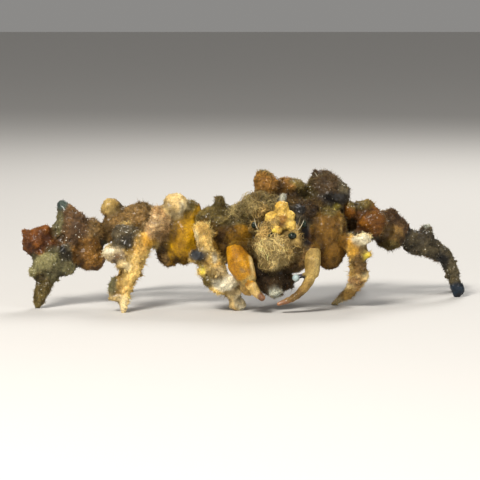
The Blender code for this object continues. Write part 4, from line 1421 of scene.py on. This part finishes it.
@dataclass(frozen=True)
class SmallThings:
    """What sits loose on the growth: white spicules, and a pale bead on a stem on the left claw."""

    chalk: tuple[float, float, float] = srgb(222, 214, 190)
    violet: tuple[float, float, float] = srgb(64, 58, 92)
    spicules: tuple = (
        ((319, 180, 0.5), (314.5, 172.5, -0.5)), ((259, 184, -4.0), (256.5, 176, -5.0)),
        ((285, 249, -17.2), (279, 244, -18.2)), ((280, 250, -17.2), (284, 244, -18.2)),
    )
    spicule_radius: float = 0.13
    stem_foot: tuple[float, float, float] = (306.5, 273.5, -16.4)
    stem_tip: tuple[float, float, float] = (297, 277.5, -16.6)
    stem_radius: float = 0.42
    bead: tuple[float, float, float] = (296, 278, -16.6)
    bead_radius: float = 0.88

    def build(self, packed: Packed, finishes: Finishes) -> None:
        """Makes the spicules, then the bead on its stem.

        Args:
            packed: the frame.
            finishes: the materials.
        """
        lines = []
        for foot, tip in self.spicules:
            start, end = placed(*foot), placed(*tip)
            middle = (start + end) / 2 + (0.1, -0.15, 0.1)
            lines.append(Rod(start, middle, end, self.spicule_radius, self.chalk))
        rods("spicules", lines, packed, finishes.hair, "shell")
        start, end = placed(*self.stem_foot), placed(*self.stem_tip)
        stem = Rod(start, (start + end) / 2 + (0, 0, 0.2), end, self.stem_radius, self.violet)
        rods("bead_stem", [stem], packed, finishes.hair, "weed")
        ball("bead", packed.packed(placed(*self.bead)), (self.bead_radius,) * 3, finishes.pearl)


@dataclass(frozen=True)
class Eyes:
    """The two glossy eyes, each a flattened oval on the end of its stalk, and how far back each sits."""

    radii: tuple[float, float, float] = (1.0, 0.95, 0.80)
    right: float = 0.45
    left: float = 0.15

    def build(self, finish: bpy.types.Material) -> None:
        """Sets each eye in its node's place.

        Args:
            finish: the eyes' material.
        """
        for side, back in (("right", self.right), ("left", self.left)):
            low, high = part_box(f"eye_{side}")
            middle = (low + high) / 2 + Vector((0, back * MM, 0))
            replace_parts(ball(f"eyeball_{side}", middle, self.radii, finish), f"eye_{side}")


@dataclass(frozen=True)
class Claws:
    """The smooth golden hands and movable fingers of the two claws. The right ones are the stouter."""

    grow: tuple = (("r_hand", 0.3), ("r_finger", 0.15), ("l_hand", 0.05), ("l_finger", 0.05))
    voxel: float = 0.14
    smoothing: int = 9
    relief: float = 0.6

    def build(self, packed: Packed, finish: bpy.types.Material) -> None:
        """Grows a shell over each hand and finger.

        Args:
            packed: the frame.
            finish: the shell's material.
        """
        for piece, grow in self.grow:
            node = f"claw_{piece}"
            skin = Skin(f"{node}_shell", [node], "claw", grow, self.voxel, self.smoothing, 0.0, self.relief,
                        mounds=ADDED.get(node, ()))
            skin.build(packed, finish)


@dataclass(frozen=True)
class Studio:
    """The pale floor, the soft lights and the camera at the photograph's viewing angle.

    Each light has its place, size, power and colour.
    """

    floor: tuple[float, ...] = (0.60, 0.585, 0.56, 1)
    sky: tuple[float, ...] = (1.0, 0.98, 0.95, 1)
    sky_strength: float = 0.26
    floor_size: float = 6.0
    lit_place: tuple[float, float, float] = (0, 0, 0.015)
    sensor: float = 36.0
    lights: tuple = (
        ("key", (-0.24, -0.46, 0.46), 0.20, 6.0, (1.0, 0.96, 0.90)),
        ("fill", (0.45, -0.42, 0.18), 0.35, 1.0, (0.95, 0.97, 1.0)),
        ("rim", (0.12, 0.42, 0.42), 0.25, 1.9, (1.0, 0.98, 0.95)),
    )

    def build(self, packed: Packed) -> None:
        """Lays the floor and sets the lights and the camera.

        Args:
            packed: the frame.
        """
        bpy.ops.object.select_all(action="DESELECT")
        bpy.ops.mesh.primitive_plane_add(size=self.floor_size, location=(0, 0, 0))
        floor = bpy.context.active_object
        floor.name = "floor"
        graph = Graph("floor")
        graph.put(graph.shader, {"Base Color": self.floor, "Roughness": 0.8})
        floor.data.materials.append(graph.material)
        world = bpy.data.worlds.new("studio")
        bpy.context.scene.world = world
        world.use_nodes = True
        graph.put(world.node_tree.nodes["Background"], {"Color": self.sky, "Strength": self.sky_strength})
        bpy.context.scene.view_settings.view_transform = "Standard"
        for light in self.lights:
            self.light(*light)
        self.camera(packed)

    def light(self, name: str, place: tuple, size: float, power: float, colour: tuple) -> None:
        """Adds a square area light that faces the crab.

        Args:
            name: its name.
            place: where it is, in metres.
            size: its side in metres.
            power: its power in watts.
            colour: its colour.
        """
        data = bpy.data.lights.new(name, "AREA")
        data.size, data.energy, data.color = size, power, colour
        obj = linked(name, data)
        obj.location = place
        obj.rotation_euler = (Vector(self.lit_place) - Vector(place)).to_track_quat("-Z", "Y").to_euler()

    def camera(self, packed: Packed) -> None:
        """Sets the camera where the front view is seen from.

        Args:
            packed: the frame.
        """
        data = bpy.data.cameras.new("camera")
        data.sensor_width, data.lens = self.sensor, self.sensor * VIEW_AWAY / (2 * VIEW_HALF * VIEW_STEP)
        data.clip_start, data.clip_end = 0.01, 20.0
        obj = linked("camera", data)
        back = Vector((0, -math.cos(VIEW_RISE), math.sin(VIEW_RISE)))
        obj.location = Vector(packed.packed(VIEW_AIM)) + back * VIEW_AWAY * MM
        obj.rotation_euler = (-back).to_track_quat("-Z", "Y").to_euler()
        bpy.context.scene.camera = obj


def main() -> None:
    """Builds every piece in order."""
    logging.basicConfig(level=logging.INFO, format="%(message)s")
    packed = Packed()
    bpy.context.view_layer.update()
    finishes = Finishes()
    for seed, part in enumerate((Body(), *LEGS), 100):
        skin = part.skin()
        skin.build(packed, finishes.skin)
        Nap(skin, seed).build(packed, finishes.hair)
    Forehead().build(packed, finishes.ball)
    Feelers().build(packed, finishes)
    SmallThings().build(packed, finishes)
    Eyes().build(finishes.eye)
    Claws().build(packed, finishes.claw)
    Studio().build(packed)


if __name__ == "__main__":
    main()
